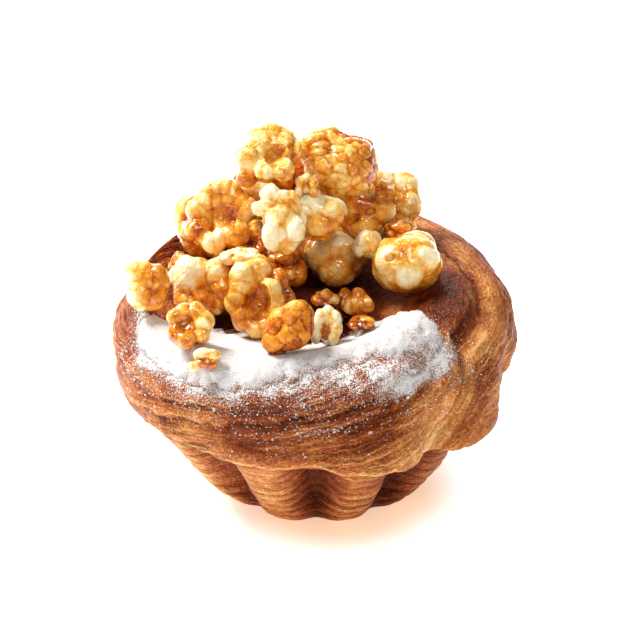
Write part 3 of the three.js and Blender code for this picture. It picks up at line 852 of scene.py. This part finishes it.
def hidden_lobes(core, rng):
    """Lobes on the side away from the front, so that a kernel is whole from behind"""
    ways = on_ball(HIDDEN_LOBES["tries"], rng, 0.15)
    lobes = []
    for way in ways[ways[:, 1] > HIDDEN_LOBES["behind"]]:
        radius = HIDDEN_LOBES["size"] * rng.uniform(0.85, 1.15)
        lobes.append((way * core * HIDDEN_LOBES["reach"], radius, rng.uniform(*LOBE_CARAMEL)))
    return lobes


def plain_lobes(rng):
    """Lobes of a kernel that has no row in the table"""
    lobes = []
    for way in on_ball(PLAIN_KERNEL["lobes"], rng, 0.2):
        place = way * PLAIN_KERNEL["reach"] * rng.uniform(0.9, 1.12)
        radius = PLAIN_KERNEL["size"] * rng.uniform(0.8, 1.15)
        lobes.append((place, radius, rng.uniform(*LOBE_CARAMEL)))
    return lobes


def kernel_shape(short, seed):
    """Balls, dents and skin of one kernel, from its row of the table or from the plain rule"""
    rng = np.random.default_rng(seed)
    row = KERNELS.get(short, {"core": PLAIN_KERNEL["core"]})
    lobes = seen_places(row["lobes"]) if "lobes" in row else plain_lobes(rng)
    if "lobes" in row:
        lobes += hidden_lobes(max(row["core"], LEAST_HIDDEN_CORE), rng)
    return {
        "lobes": [(-CORE_BEHIND * seen_ways()[2], row["core"], CORE_CARAMEL)] + lobes,
        "dents": seen_places(row.get("dents", ())),
        "plates": on_ball(row["plates"], rng, 0.12) if "plates" in row else None,
        "plate_tones": rng.uniform(-0.05, 0.25, row.get("plates", 0)),
        "blend": row.get("blend", KERNEL_BLEND),
        "puff": row.get("puff", KERNEL_PUFF),
        "caramel": row.get("caramel", 0.0),
        "glaze": row.get("glaze", 1.0),
        "seed": seed,
    }


def lobe_union(points, shape):
    """Distance to a kernel's joined balls, their caramel and the creases between them"""
    blend = shape["blend"]
    nearest = np.full(len(points), 9.0)
    second = np.full(len(points), 9.0)
    total = np.zeros(len(points))
    toned = np.zeros(len(points))
    for middle, radius, tone in shape["lobes"]:
        distance = np.linalg.norm(points - middle, axis=-1) - radius
        second = np.minimum(second, np.maximum(nearest, distance))
        nearest = np.minimum(nearest, distance)
        weight = np.exp(np.clip(-distance / blend, -60, 60))
        total += weight
        toned += weight * tone
    return -blend * np.log(total), toned / total, np.exp(-(second - nearest) / CREASE_WIDTH)


def cracked_plates(points, shape):
    """Grooves between a kernel's plates, and the plates' caramel"""
    closeness = unit(points) @ shape["plates"].T
    order = np.argsort(-closeness, axis=-1)[:, :2]
    angles = np.arccos(np.clip(np.take_along_axis(closeness, order, 1), -1, 1))
    groove = bell(angles[:, 1] - angles[:, 0], 0, GROOVE_WIDTH)
    return groove, shape["plate_tones"][order[:, 0]]


def kernel_caramel(points, shape, tone, crease, folds):
    """Caramel gathers in creases and along folds, and lies in clouds"""
    lines = CREASE_CARAMEL * crease
    for fold, (strength, width) in zip(folds, FOLD_LINES):
        lines = lines + strength * np.exp(-np.abs(fold) / width)
    caramel = tone + BARE_CARAMEL + lines * min(1, shape["puff"] / KERNEL_PUFF)
    for k, (strength, size) in enumerate(CARAMEL_CLOUDS):
        caramel = caramel + strength * soft_noise(points, size, shape["seed"] + 20 + k)
    caramel = caramel + HIGH_CARAMEL * (np.abs(folds[0]) - FOLD_MIDDLE) + shape["caramel"]
    return MOST_CARAMEL * np.tanh(caramel / MOST_CARAMEL)


def kernel_skin(points, shape):
    """Distance to a kernel's wrinkled surface, below zero inside it, and the caramel that lies there, with
    painted shade in its dents
    """
    seed = shape["seed"]
    field, tone, crease = lobe_union(points, shape)
    swirl = np.stack([soft_noise(points, SWIRL_SIZE, seed + k) for k in (11, 12, 13)], axis=-1)
    warped = points + SWIRL_REACH * swirl
    folds = [soft_noise(warped, size, seed + k) for k, size in enumerate(FOLD_SIZES)]
    for fold, share in zip(folds, FOLD_SHARES):
        field = field - shape["puff"] * share * (np.abs(fold) - FOLD_MIDDLE)
    caramel = kernel_caramel(warped, shape, tone, crease, folds)
    if shape["plates"] is not None:
        groove, tones = cracked_plates(warped, shape)
        field = field + GROOVE_DEPTH * groove
        caramel = PLATE_SHARE * caramel + tones + GROOVE_CARAMEL * groove
    # Dents hold pooled caramel, darker than the caramel round them; that darkness is partly painted shade in
    # their hollows
    for middle, radius, pool_and_shade in shape["dents"]:
        inside = radius - np.linalg.norm(warped - middle, axis=-1)
        pooled_and_shaded = pool_and_shade + POOL_UNEVEN * (caramel - POOL_MIDDLE)
        caramel = lerp(caramel, pooled_and_shaded, smoothstep(inside, *POOL_EDGE))
        field = np.maximum(field, inside)
    return field, caramel


def skin(field):
    """Points and quads of a closed surface round the cells of a box where a field is below zero"""
    counts = np.array(field.shape) - 1
    values = np.stack([
        field[tuple(slice(start, start + count) for start, count in zip(corner, counts))]
        for corner in CORNERS
    ], axis=-1)
    below = values < 0
    mixed = below.any(axis=-1) & ~below.all(axis=-1)
    values = values[mixed]
    spots = np.zeros((len(values), 3))
    hits = np.zeros((len(values), 1))
    for one in range(8):
        for other in range(one + 1, 8):
            if np.abs(CORNERS[one] - CORNERS[other]).sum() != 1:
                continue
            first = values[:, one]
            crossing = (first < 0) != (values[:, other] < 0)
            share = first / np.where(crossing, first - values[:, other], 1)
            spot = lerp(CORNERS[one], CORNERS[other], share[:, None])
            spots += np.where(crossing[:, None], spot, 0)
            hits += crossing[:, None]
    index = np.full(mixed.shape, -1)
    index[mixed] = np.arange(len(values))
    return np.argwhere(mixed) + spots / hits, skin_quads(field, index)


def skin_quads(field, index):
    """Quads round the edges of the box's cells where the field changes sign, facing outward"""
    quads = []
    ways = np.eye(3, dtype=int)
    for axis in range(3):
        left = ways[(axis + 1) % 3]
        right = ways[(axis + 2) % 3]
        low = np.moveaxis(field, axis, 0)[:-1]
        high = np.moveaxis(field, axis, 0)[1:]
        changes = np.moveaxis((low < 0) != (high < 0), 0, axis)
        at = np.argwhere(changes)
        around = [at, at - left, at - left - right, at - right]
        four = np.stack([index[tuple(cell.T)] for cell in around], axis=-1)
        outward = field[tuple(at.T)] < 0
        quads.append(np.where(outward[:, None], four, four[:, ::-1]))
    return np.concatenate(quads)


def kernel_mesh(shape, net):
    """Points, quads and caramel of one popped kernel in a unit ball"""
    reach = SKIN_REACH + max(np.linalg.norm(middle) + radius for middle, radius, _ in shape["lobes"])
    axis = np.linspace(-reach, reach, net)
    points = np.stack(np.meshgrid(axis, axis, axis, indexing="ij"), axis=-1).reshape(-1, 3)
    field, _, _ = lobe_union(points, shape)
    near = np.abs(field) < SKIN_REACH
    for middle, radius, _ in shape["dents"]:
        near |= (field < 0) & (np.linalg.norm(points - middle, axis=-1) < radius + SKIN_REACH)
    field[near], _ = kernel_skin(points[near], shape)
    spots, quads = skin(field.reshape(net, net, net))
    spots = axis[0] + spots * (axis[1] - axis[0])
    _, caramel = kernel_skin(spots, shape)
    return spots, quads, caramel


# Material nodes

def node(tree, kind, inputs=None, **settings):
    """A shader node with its settings made and its inputs set or linked"""
    made = tree.nodes.new(kind)
    for key, value in settings.items():
        setattr(made, key, value)
    for key, value in (inputs or {}).items():
        if isinstance(value, bpy.types.NodeSocket):
            tree.links.new(value, made.inputs[key])
        else:
            made.inputs[key].default_value = value
    return made


def number(tree, operation, first, second=0.0):
    return node(tree, "ShaderNodeMath", {0: first, 1: second}, operation=operation).outputs[0]


def add(tree, first, *others):
    for other in others:
        first = number(tree, "ADD", first, other)
    return first


def multiply(tree, first, second):
    return number(tree, "MULTIPLY", first, second)


def one_minus(tree, value):
    return number(tree, "SUBTRACT", 1.0, value)


def vector_maths(tree, operation, first, second):
    return node(tree, "ShaderNodeVectorMath", {0: first, 1: second}, operation=operation).outputs[0]


def spread(tree, value, low, high, start=0.0, end=1.0):
    inputs = {"Value": value, "From Min": low, "From Max": high, "To Min": start, "To Max": end}
    return node(tree, "ShaderNodeMapRange", inputs, interpolation_type="SMOOTHSTEP").outputs[0]


def blend_colours(tree, share, first, second):
    return node(tree, "ShaderNodeMix", {0: share, 6: first, 7: second}, data_type="RGBA").outputs[2]


def colour_ramp(tree, value, stops):
    made = node(tree, "ShaderNodeValToRGB", {0: value})
    elements = made.color_ramp.elements
    while len(elements) < len(stops):
        elements.new(0.5)
    for element, (place, colour) in zip(elements, stops):
        element.position = place
        element.color = (*colour, 1)
    return made.outputs[0]


def attribute(tree, name):
    return node(tree, "ShaderNodeAttribute", attribute_name=name).outputs["Fac"]


def noise(tree, vector, scale, detail, roughness):
    inputs = {"Vector": vector, "Scale": scale, "Detail": detail, "Roughness": roughness}
    return node(tree, "ShaderNodeTexNoise", inputs).outputs["Fac"]


def wandering(tree, place, scale, reach):
    """A place shifted to and fro, so that lines on it wander"""
    shifts = node(tree, "ShaderNodeTexNoise", {"Vector": place, "Scale": scale, "Detail": 2.0})
    centred = vector_maths(tree, "SUBTRACT", shifts.outputs["Color"], (0.5, 0.5, 0.5))
    shift = vector_maths(tree, "MULTIPLY", centred, (reach, reach, reach))
    return vector_maths(tree, "ADD", place, shift)


def new_material(name):
    material = bpy.data.materials.new(name)
    material.use_nodes = True
    tree = material.node_tree
    return material, tree, tree.nodes["Principled BSDF"]


def set_inputs(surface, values):
    for key, value in values.items():
        surface.inputs[key].default_value = value


def add_bump(tree, surface, height, distance, strength):
    bump = node(tree, "ShaderNodeBump", {"Height": height, "Distance": distance, "Strength": strength})
    tree.links.new(bump.outputs[0], surface.inputs["Normal"])


# Materials

def along_layers(tree, place, across, shrink):
    """A place whose noise is drawn out along the layers"""
    spot = node(tree, "ShaderNodeSeparateXYZ", {0: place})
    x, y = (multiply(tree, spot.outputs[axis], shrink) for axis in (0, 1))
    return node(tree, "ShaderNodeCombineXYZ", {0: x, 1: y, 2: across}).outputs[0]


def layer_phase(tree, across, place):
    """How far across its thick and its thin layer a place is, from 0 at one edge to 1; the layers wander"""
    wander = multiply(tree, noise(tree, place, CRUST_NOISE["wander"], 3, 0.5), LAYER_WANDER)
    layers = add(tree, number(tree, "DIVIDE", across, LAYER_PITCH * MM), wander)
    return number(tree, "FRACT", layers), number(tree, "FRACT", multiply(tree, layers, THIN_LAYERS))


def layer_edges(tree, phase, lip, groove):
    """What a layer's pale lip and the painted shade in the groove before it add to the darkness"""
    rising = spread(tree, phase, 0.0, 0.06)
    pale = multiply(tree, rising, spread(tree, phase, 0.07, 0.36, lip, 0.0))
    return add(tree, pale, spread(tree, phase, 0.8, 1.0, 0.0, groove))


def crust_material(settings):
    """Baked crust: pale lips of layers with painted shade in the grooves before them, streaks, mottle,
    blisters and dusted sugar
    """
    material, tree, surface = new_material("baked_crust")
    place = node(tree, "ShaderNodeTexCoord").outputs["Object"]
    across = multiply(tree, attribute(tree, "layer"), MM)
    strips = attribute(tree, "strips")
    torn_place = along_layers(tree, place, across, TORN_SHRINK)
    torn = spread(tree, noise(tree, torn_place, CRUST_NOISE["torn"], 3, 0.6), 0.4, 0.62)
    thin_torn = spread(tree, noise(tree, torn_place, CRUST_NOISE["thin_torn"], 3, 0.6), 0.4, 0.6)
    torn, thin_torn = (multiply(tree, mask, strips) for mask in (torn, thin_torn))
    streak_place = along_layers(tree, place, across, STREAK_SHRINK)
    streaks = noise(tree, streak_place, CRUST_NOISE["streaks"], 3, 0.55)
    mottle = noise(tree, place, CRUST_NOISE["mottle"], 4, 0.6)
    blisters = noise(tree, place, CRUST_NOISE["blisters"], 2, 0.55)

    phase, thin_phase = layer_phase(tree, across, place)
    # Layer edges add pale lips and painted shade in the grooves before them
    bake = add(
        tree, attribute(tree, "bake"),
        spread(tree, streaks, 0.36, 0.64, -0.05, 0.05),
        multiply(tree, layer_edges(tree, phase, -0.3, 0.14), torn),
        multiply(tree, layer_edges(tree, thin_phase, -0.26, 0.12), thin_torn),
        spread(tree, blisters, 0.35, 0.7, 0.07, -0.12),
        spread(tree, mottle, 0.3, 0.7, -0.07, 0.07),
    )
    colour = colour_ramp(tree, bake, (
        (0.0, settings.pale), (0.28, settings.golden), (0.62, settings.brown), (1.0, settings.dark),
    ))
    grain = noise(tree, place, CRUST_NOISE["dust"], 2, 0.6)
    dusted = spread(tree, add(tree, grain, multiply(tree, attribute(tree, "dust"), 0.62)), 0.84, 0.95)
    colour = blend_colours(tree, dusted, colour, (*settings.dusting, 1))
    tree.links.new(colour, surface.inputs["Base Color"])
    gloss = spread(tree, attribute(tree, "shine"), 0, 1, settings.roughness, settings.glaze_roughness)
    rough = add(tree, gloss, multiply(tree, dusted, DUST_ROUGHNESS))
    tree.links.new(rough, surface.inputs["Roughness"])
    set_inputs(surface, {"Specular IOR Level": 0.28, "Specular Tint": (1.0, 0.86, 0.72, 1.0)})

    step = multiply(tree, one_minus(tree, phase), torn)
    thin_step = multiply(tree, one_minus(tree, thin_phase), thin_torn)
    height = add(
        tree, blisters, step, multiply(tree, streaks, 0.8), multiply(tree, thin_step, 0.6),
        multiply(tree, mottle, 0.6),
    )
    add_bump(tree, surface, height, 0.0009, 1.0)
    return material


def sugar_material(settings):
    """Powder: matt white with a fine grain, and crust in its gaps where it is thin"""
    material, tree, surface = new_material("icing_sugar_powder")
    place = node(tree, "ShaderNodeTexCoord").outputs["Object"]
    grain = noise(tree, place, SUGAR_NOISE["grain"], 3, 0.65)
    colour = colour_ramp(tree, grain, ((0.3, settings.shade), (0.6, settings.colour)))
    specks = noise(tree, place, SUGAR_NOISE["specks"], 2, 0.6)
    gaps = spread(tree, add(tree, specks, multiply(tree, attribute(tree, "grainy"), 0.42)), 0.7, 0.86)
    colour = blend_colours(tree, gaps, colour, (*settings.gaps, 1))
    tree.links.new(colour, surface.inputs["Base Color"])
    set_inputs(surface, {
        "Roughness": 0.95,
        "Specular IOR Level": 0.2,
        "Subsurface Weight": 0.8,
        "Subsurface Radius": (1.0, 0.9, 0.8),
        "Subsurface Scale": 0.001,
    })
    add_bump(tree, surface, grain, 0.0008, 0.8)
    return material


def popcorn_material(name, settings, more_caramel):
    """Popped corn under caramel: cream on the lobes, through golden, to brown where it has run together"""
    material, tree, surface = new_material(name)
    place = node(tree, "ShaderNodeTexCoord").outputs["Object"]
    clouds = noise(tree, place, POPCORN_NOISE["clouds"], 3, 0.6)
    specks = noise(tree, place, POPCORN_NOISE["specks"], 3, 0.6)
    wrinkled = wandering(tree, place, POPCORN_NOISE["wander"], CRACK_WANDER)
    inputs = {"Vector": wrinkled, "Scale": POPCORN_NOISE["cracks"]}
    crackle = node(tree, "ShaderNodeTexVoronoi", inputs, feature="DISTANCE_TO_EDGE")
    cracks = spread(tree, crackle.outputs["Distance"], 0.0, 0.12, 1.0, 0.0)
    caramel = add(
        tree, attribute(tree, "caramel"),
        spread(tree, clouds, 0.3, 0.7, more_caramel - 0.1, more_caramel + 0.1),
        spread(tree, specks, 0.3, 0.7, -0.05, 0.05),
        multiply(tree, cracks, 0.07),
    )
    colour = colour_ramp(tree, caramel, (
        (0.08, settings.cream), (0.34, settings.straw), (0.56, settings.golden),
        (0.8, settings.amber), (1.0, settings.brown),
    ))
    tree.links.new(colour, surface.inputs["Base Color"])
    glaze = attribute(tree, "glaze")
    dry = multiply(tree, one_minus(tree, glaze), 0.3)
    rough = add(tree, spread(tree, caramel, 0.1, 0.6, 0.42, 0.14), dry)
    tree.links.new(rough, surface.inputs["Roughness"])
    coat = multiply(tree, spread(tree, caramel, 0.1, 0.45, 0.35, 1.0), glaze)
    tree.links.new(coat, surface.inputs["Coat Weight"])
    set_inputs(surface, {
        "Specular IOR Level": 0.25,
        "Subsurface Weight": 0.2,
        "Subsurface Radius": (1.0, 0.6, 0.25),
        "Subsurface Scale": 0.002,
        "Coat Roughness": 0.05,
    })
    height = number(tree, "SUBTRACT", specks, multiply(tree, cracks, 0.6))
    add_bump(tree, surface, height, 0.0005, 0.5)
    return material


def floor_material(settings):
    """A pale floor that glows, which washes out cast shadows, with painted warm bounce light close to the
    bun's foot
    """
    material, tree, surface = new_material("pale_floor")
    place = node(tree, "ShaderNodeTexCoord").outputs["Object"]
    from_foot = vector_maths(tree, "SUBTRACT", place, BOUNCE_MIDDLE)
    distance = node(tree, "ShaderNodeVectorMath", {0: from_foot}, operation="LENGTH").outputs["Value"]
    near = spread(tree, distance, *BOUNCE_FADE)
    # Painted warm bounce light close to the foot, in the floor's colour and in its glow
    colour = blend_colours(tree, near, (*settings.floor_bounce, 1), (*settings.floor, 1))
    tree.links.new(colour, surface.inputs["Base Color"])
    tree.links.new(colour, surface.inputs["Emission Color"])
    set_inputs(surface, {
        "Roughness": 0.8, "Specular IOR Level": 0.1, "Emission Strength": settings.floor_glow,
    })
    return material


# Settings

def linear(red, green, blue):
    """Linear colour from red, green and blue of 0 to 255"""
    return tuple(((value / 255 + 0.055) / 1.055) ** 2.4 for value in (red, green, blue))


def colour_setting(name, description, colour):
    return bpy.props.FloatVectorProperty(
        name=name, description=description, default=colour, size=3, min=0, max=1, subtype="COLOR",
    )


def share_setting(name, description, share):
    return bpy.props.FloatProperty(
        name=name, description=description, default=share, min=0, max=1, subtype="FACTOR",
    )


def length_setting(name, description, length):
    return bpy.props.FloatProperty(name=name, description=description, default=length, min=0, unit="LENGTH")


def power_setting(name, description, power):
    return bpy.props.FloatProperty(name=name, description=description, default=power, min=0, unit="POWER")


def strength_setting(name, description, strength):
    return bpy.props.FloatProperty(name=name, description=description, default=strength, min=0)


def count_setting(name, description, count, least, most):
    return bpy.props.IntProperty(name=name, description=description, default=count, min=least, max=most)


class CrustSettings(bpy.types.PropertyGroup):
    """Colours and gloss of the baked crust"""
    pale: colour_setting("Pale", "Torn edges and thin layers", linear(240, 190, 130))
    golden: colour_setting("Golden", "Layers that baked least", linear(202, 132, 70))
    brown: colour_setting("Brown", "Well baked crust", linear(146, 70, 31))
    # Dark also serves as painted shade in the valleys, creases and hollow
    dark: colour_setting("Dark", "Darkest crust, in creases, valleys and the hollow", linear(84, 32, 6))
    dusting: colour_setting("Dusting", "Sugar dust on the crust", linear(244, 238, 234))
    roughness: share_setting("Roughness", "Roughness of the plain crust", 0.46)
    glaze_roughness: share_setting("Glaze", "Roughness of the glazed crown", 0.33)


class SugarSettings(bpy.types.PropertyGroup):
    """Amount and colour of the icing sugar"""
    colour: colour_setting("Colour", "Heaped sugar", linear(235, 232, 230))
    shade: colour_setting("Shade", "Hollows in the sugar's grain", linear(206, 202, 199))
    gaps: colour_setting("Gaps", "Crust between the grains of thin sugar", linear(164, 115, 90))
    clumps: count_setting("Clumps", "Loose clumps of sugar on the crust", 4500, 0, 9900)
    clump_size: length_setting("Clump size", "Radius of a loose clump", 0.00021)
    grains: count_setting("Grains", "Fine grains of sugar on the crust", 24000, 0, 24900)
    grain_size: length_setting("Grain size", "Radius of a fine grain", 0.00015)


class PopcornSettings(bpy.types.PropertyGroup):
    """Colours and fineness of the popcorn"""
    cream: colour_setting("Cream", "Bare popped corn", linear(253, 237, 198))
    straw: colour_setting("Straw", "Thinly glazed corn", linear(247, 202, 112))
    golden: colour_setting("Golden", "Glazed corn", linear(232, 156, 46))
    amber: colour_setting("Amber", "Thick caramel", linear(194, 100, 14))
    # Brown is also painted shade in the dents' hollows
    brown: colour_setting("Brown", "Caramel in the deepest creases", linear(104, 40, 3))
    net: count_setting("Net", "Cells across the largest kernels' fields", 68, 20, 80)


class StudioSettings(bpy.types.PropertyGroup):
    """Camera, lights and floor"""
    elevation: bpy.props.FloatProperty(
        name="Elevation", description="Camera angle above the floor", default=math.radians(32),
        subtype="ANGLE",
    )
    distance: length_setting("Distance", "From the camera to the middle of the base", 0.8)
    lens: bpy.props.FloatProperty(name="Lens", description="Focal length", default=157.5, unit="CAMERA")
    rise: length_setting("Rise", "How far above the base's middle the camera aims", 0.0423)
    key_power: power_setting("Key", "Power of the main light", 23.0)
    fill_power: power_setting("Fill", "Power of the front light", 2.8)
    back_power: power_setting("Back", "Power of the light behind", 6.0)
    surround: strength_setting("Surround", "Strength of the light from all round", 0.2)
    floor: colour_setting("Floor", "Colour of the floor", linear(250, 249, 248))
    # Painted warm bounce light on the floor close to the foot
    floor_bounce: colour_setting("Floor near", "Colour of the floor close to the foot", linear(244, 213, 186))
    floor_glow: strength_setting("Floor glow", "Light that shines up through the floor", 0.7)


# Operators

class BUN_OT_crust(bpy.types.Operator):
    """Makes the bun's layered crust"""
    bl_idname = "bun.crust"
    bl_label = "Bake the crust"

    def execute(self, context):
        rows = [np.linspace(low, high, count, endpoint=False) for low, high, count in CRUST_RINGS]
        rows = np.append(np.concatenate(rows), LAST_ROW)
        turns = np.arange(CRUST_COLUMNS) / CRUST_COLUMNS * 2 * math.pi
        row, azimuth = np.meshgrid(rows, turns, indexing="ij")
        points, _, looks = crust(azimuth, row)
        points = np.concatenate([points.reshape(-1, 3), [(0, 0, 0), (*HOLLOW_MIDDLE, HOLLOW_FLOOR)]])
        faces = grid_quads(len(rows), CRUST_COLUMNS, True).tolist()
        bottom, middle = len(points) - 2, len(points) - 1
        top = (len(rows) - 1) * CRUST_COLUMNS
        for column in range(CRUST_COLUMNS):
            after = (column + 1) % CRUST_COLUMNS
            faces.append((bottom, after, column))
            faces.append((middle, top + column, top + after))
        ends = {"layer": (0, 60), "bake": (0.5, 0.9), "strips": (0, 0), "shine": (0, 0), "dust": (0, 0)}
        looks = {key: np.append(values.ravel(), ends[key]) for key, values in looks.items()}
        piece = make_piece("bun_crust", points, faces, crust_material(context.scene.bun_crust), looks)
        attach(piece, BODY)
        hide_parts("bun")
        return {"FINISHED"}


class BUN_OT_sugar(bpy.types.Operator):
    """Makes the crescent of icing sugar and the loose grains round it"""
    bl_idname = "bun.sugar"
    bl_label = "Dust with sugar"

    def execute(self, context):
        settings = context.scene.bun_sugar
        powder = sugar_material(settings)
        crescent = self.crescent(powder)
        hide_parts("icing_sugar")
        clumps = self.scatter("sugar_clumps", icosahedron(), settings.clumps, settings.clump_size, 17, powder)
        grains = self.scatter("sugar_grains", OCTAHEDRON, settings.grains, settings.grain_size, 18, powder)
        for piece in (crescent, clumps, grains):
            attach(piece, BODY)
        return {"FINISHED"}

    def crescent(self, material):
        """A closed skin: its top lies on the crust or under it, and its underside always under both"""
        turns = np.linspace(SUGAR_EDGES[0, 0], SUGAR_EDGES[-1, 0], SUGAR_COLUMNS)
        azimuth, share = np.meshgrid(np.radians(turns), np.linspace(0, 1, SUGAR_LINES), indexing="ij")
        outer, inner, _ = sugar_edges(azimuth)
        row = lerp(outer - SUGAR_PAST[0], inner + SUGAR_PAST[1], share)
        points, normal, _ = crust(azimuth, row)
        depth, grainy = sugar_depth(azimuth, row, points)
        top = points + normal * depth[..., None]
        under = points - normal * np.maximum(SUGAR_UNDERSIDE, SUGAR_LEAST - depth)[..., None]
        count = SUGAR_COLUMNS * SUGAR_LINES
        upper = grid_quads(SUGAR_COLUMNS, SUGAR_LINES, False)[:, ::-1]
        lower = upper[:, ::-1] + count
        numbers = np.arange(count).reshape(SUGAR_COLUMNS, SUGAR_LINES)
        edge = np.concatenate([
            numbers[:, 0], numbers[-1, 1:], numbers[-2::-1, -1], numbers[0, -2:0:-1],
        ])
        after = np.roll(edge, -1)
        wall = np.stack([edge, after, after + count, edge + count], axis=-1)
        faces = np.concatenate([upper, lower, wall])
        both = np.concatenate([top.reshape(-1, 3), under.reshape(-1, 3)])
        return make_piece("sugar_crescent", both, faces, material, {"grainy": np.tile(grainy.ravel(), 2)})

    def scatter(self, name, ball, count, size, seed, material):
        """Loose grains on the crust, more of them where the dust is dense"""
        rng = np.random.default_rng(seed)
        points, faces = ball
        tries = count * LOOSE_TRIES
        first, last = SUGAR_EDGES[0, 0] - LOOSE_PAST, SUGAR_EDGES[-1, 0] + LOOSE_PAST
        azimuth = np.radians(rng.uniform(first, last, tries))
        row = rng.uniform(*LOOSE_ROWS, tries)
        spots, normal, looks = crust(azimuth, row)
        kept = np.flatnonzero(rng.uniform(0, 1, tries) < looks["dust"])[:count]
        sizes = size / MM * rng.lognormal(0, LOOSE_SIZES, (len(kept), 1, 1))
        shapes = points[None] * sizes * rng.uniform(*LOOSE_KNOBS, (len(kept), len(points), 1))
        shapes = shapes + (spots[kept] + normal[kept] * LOOSE_RISE * sizes[:, 0])[:, None, :]
        offsets = np.arange(len(kept))[:, None, None] * len(points)
        faces = (faces[None] + offsets).reshape(-1, 3)
        grainy = np.full(len(kept) * len(points), LOOSE_GRAINY)
        return make_piece(name, shapes.reshape(-1, 3), faces, material, {"grainy": grainy})


class BUN_OT_popcorn(bpy.types.Operator):
    """Makes every popcorn kernel in the place of its solid"""
    bl_idname = "bun.popcorn"
    bl_label = "Pop the corn"

    def execute(self, context):
        settings = context.scene.bun_popcorn
        materials = {
            slot: popcorn_material(name, settings, more_caramel)
            for slot, (name, more_caramel) in CARAMEL_TINTS.items()
        }
        slots = {part["node"]: part["material_slot"] for part in frame["record"]["subparts"]}
        nodes = sorted(name for name in frame["nodes"] if name.startswith("popcorn_"))
        for seed, name in enumerate(nodes):
            piece = self.kernel(name, slots[name], seed, settings, materials[slots[name]])
            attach(piece, BODY)
            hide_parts(name)
        return {"FINISHED"}

    def kernel(self, name, slot, seed, settings, material):
        """One kernel, stretched to fill its solid's box"""
        short = name.removeprefix("popcorn_")
        low, high = (np.array(corner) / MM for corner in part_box(name))
        net = int(np.clip(settings.net * (high - low).max() / FINE_KERNEL, LEAST_NET, settings.net))
        shape = kernel_shape(short, seed + 100)
        spots, quads, caramel = kernel_mesh(shape, net)
        if short not in KERNELS:
            caramel = caramel + PLAIN_CARAMEL[slot]
        least, most = spots.min(axis=0), spots.max(axis=0)
        spots = low + (spots - least) / (most - least) * (high - low)
        looks = {"caramel": caramel, "glaze": np.full(len(spots), shape["glaze"])}
        return make_piece(f"kernel_{short}", spots, quads, material, looks)


class BUN_OT_studio(bpy.types.Operator):
    """Makes the floor, the lights and the camera"""
    bl_idname = "bun.studio"
    bl_label = "Set up the studio"

    def execute(self, context):
        settings = context.scene.bun_studio
        self.floor(settings)
        for name, (place, size, power) in LIGHTS.items():
            self.light(name, Vector(place), size, getattr(settings, power))
        world = bpy.data.worlds.new("soft_surround")
        world.use_nodes = True
        background = world.node_tree.nodes["Background"]
        set_inputs(background, {"Color": (1, 1, 1, 1), "Strength": settings.surround})
        context.scene.world = world
        context.scene.view_settings.view_transform = "Standard"
        context.scene.view_settings.look = "Medium High Contrast"
        self.camera(context, settings)
        return {"FINISHED"}

    def floor(self, settings):
        steps = np.linspace(-FLOOR_HALF, FLOOR_HALF, FLOOR_LINES)
        x, y = np.meshgrid(steps, steps, indexing="ij")
        points = np.stack([x, y, np.full(x.shape, -FLOOR_DROP)], axis=-1).reshape(-1, 3)
        faces = grid_quads(FLOOR_LINES, FLOOR_LINES, False)[:, ::-1]
        make_piece("floor", points, faces, floor_material(settings))

    def light(self, name, place, size, power):
        lamp = bpy.data.lights.new(name, "AREA")
        lamp.shape = "DISK"
        lamp.size = size
        lamp.energy = power
        self.hold(name, lamp, place, LIT_PLACE)

    def camera(self, context, settings):
        lens = bpy.data.cameras.new("photo_camera")
        lens.lens = settings.lens
        lens.sensor_width = 36
        lens.clip_start = 0.01
        tilt = settings.elevation
        back = Vector((0, -math.cos(tilt), math.sin(tilt)))
        upward = Vector((0, math.sin(tilt), math.cos(tilt)))
        aim = upward * settings.rise + CAMERA_ASIDE
        context.scene.camera = self.hold("photo_camera", lens, back * settings.distance, aim)

    def hold(self, name, data, place, aim):
        """Puts a light or a camera in its place and points it at what it aims at"""
        holder = bpy.data.objects.new(name, data)
        holder.location = place
        holder.rotation_euler = (aim - place).to_track_quat("-Z", "Y").to_euler()
        bpy.context.scene.collection.objects.link(holder)
        return holder


# Panel and registration

class BUN_PT_panel(bpy.types.Panel):
    """Lists the bun's pieces and their settings"""
    bl_idname = "BUN_PT_panel"
    bl_label = "Croissant bun"
    bl_space_type = "VIEW_3D"
    bl_region_type = "UI"
    bl_category = "Bun"

    def draw(self, context):
        layout = self.layout
        for operator, group in STEPS:
            box = layout.box()
            box.operator(operator)
            settings = getattr(context.scene, group)
            for key in settings.__annotations__:
                box.prop(settings, key)


STEPS = (
    ("bun.crust", "bun_crust"),
    ("bun.sugar", "bun_sugar"),
    ("bun.popcorn", "bun_popcorn"),
    ("bun.studio", "bun_studio"),
)
SETTINGS = {
    "bun_crust": CrustSettings,
    "bun_sugar": SugarSettings,
    "bun_popcorn": PopcornSettings,
    "bun_studio": StudioSettings,
}
CLASSES = (
    *SETTINGS.values(), BUN_OT_crust, BUN_OT_sugar, BUN_OT_popcorn, BUN_OT_studio, BUN_PT_panel,
)


def register():
    for made in CLASSES:
        bpy.utils.register_class(made)
    for name, group in SETTINGS.items():
        setattr(bpy.types.Scene, name, bpy.props.PointerProperty(type=group))


def unregister():
    for name in SETTINGS:
        delattr(bpy.types.Scene, name)
    for made in reversed(CLASSES):
        bpy.utils.unregister_class(made)


def main():
    register()
    bpy.ops.bun.crust()
    bpy.ops.bun.sugar()
    bpy.ops.bun.popcorn()
    bpy.ops.bun.studio()


if __name__ == "__main__":
    main()
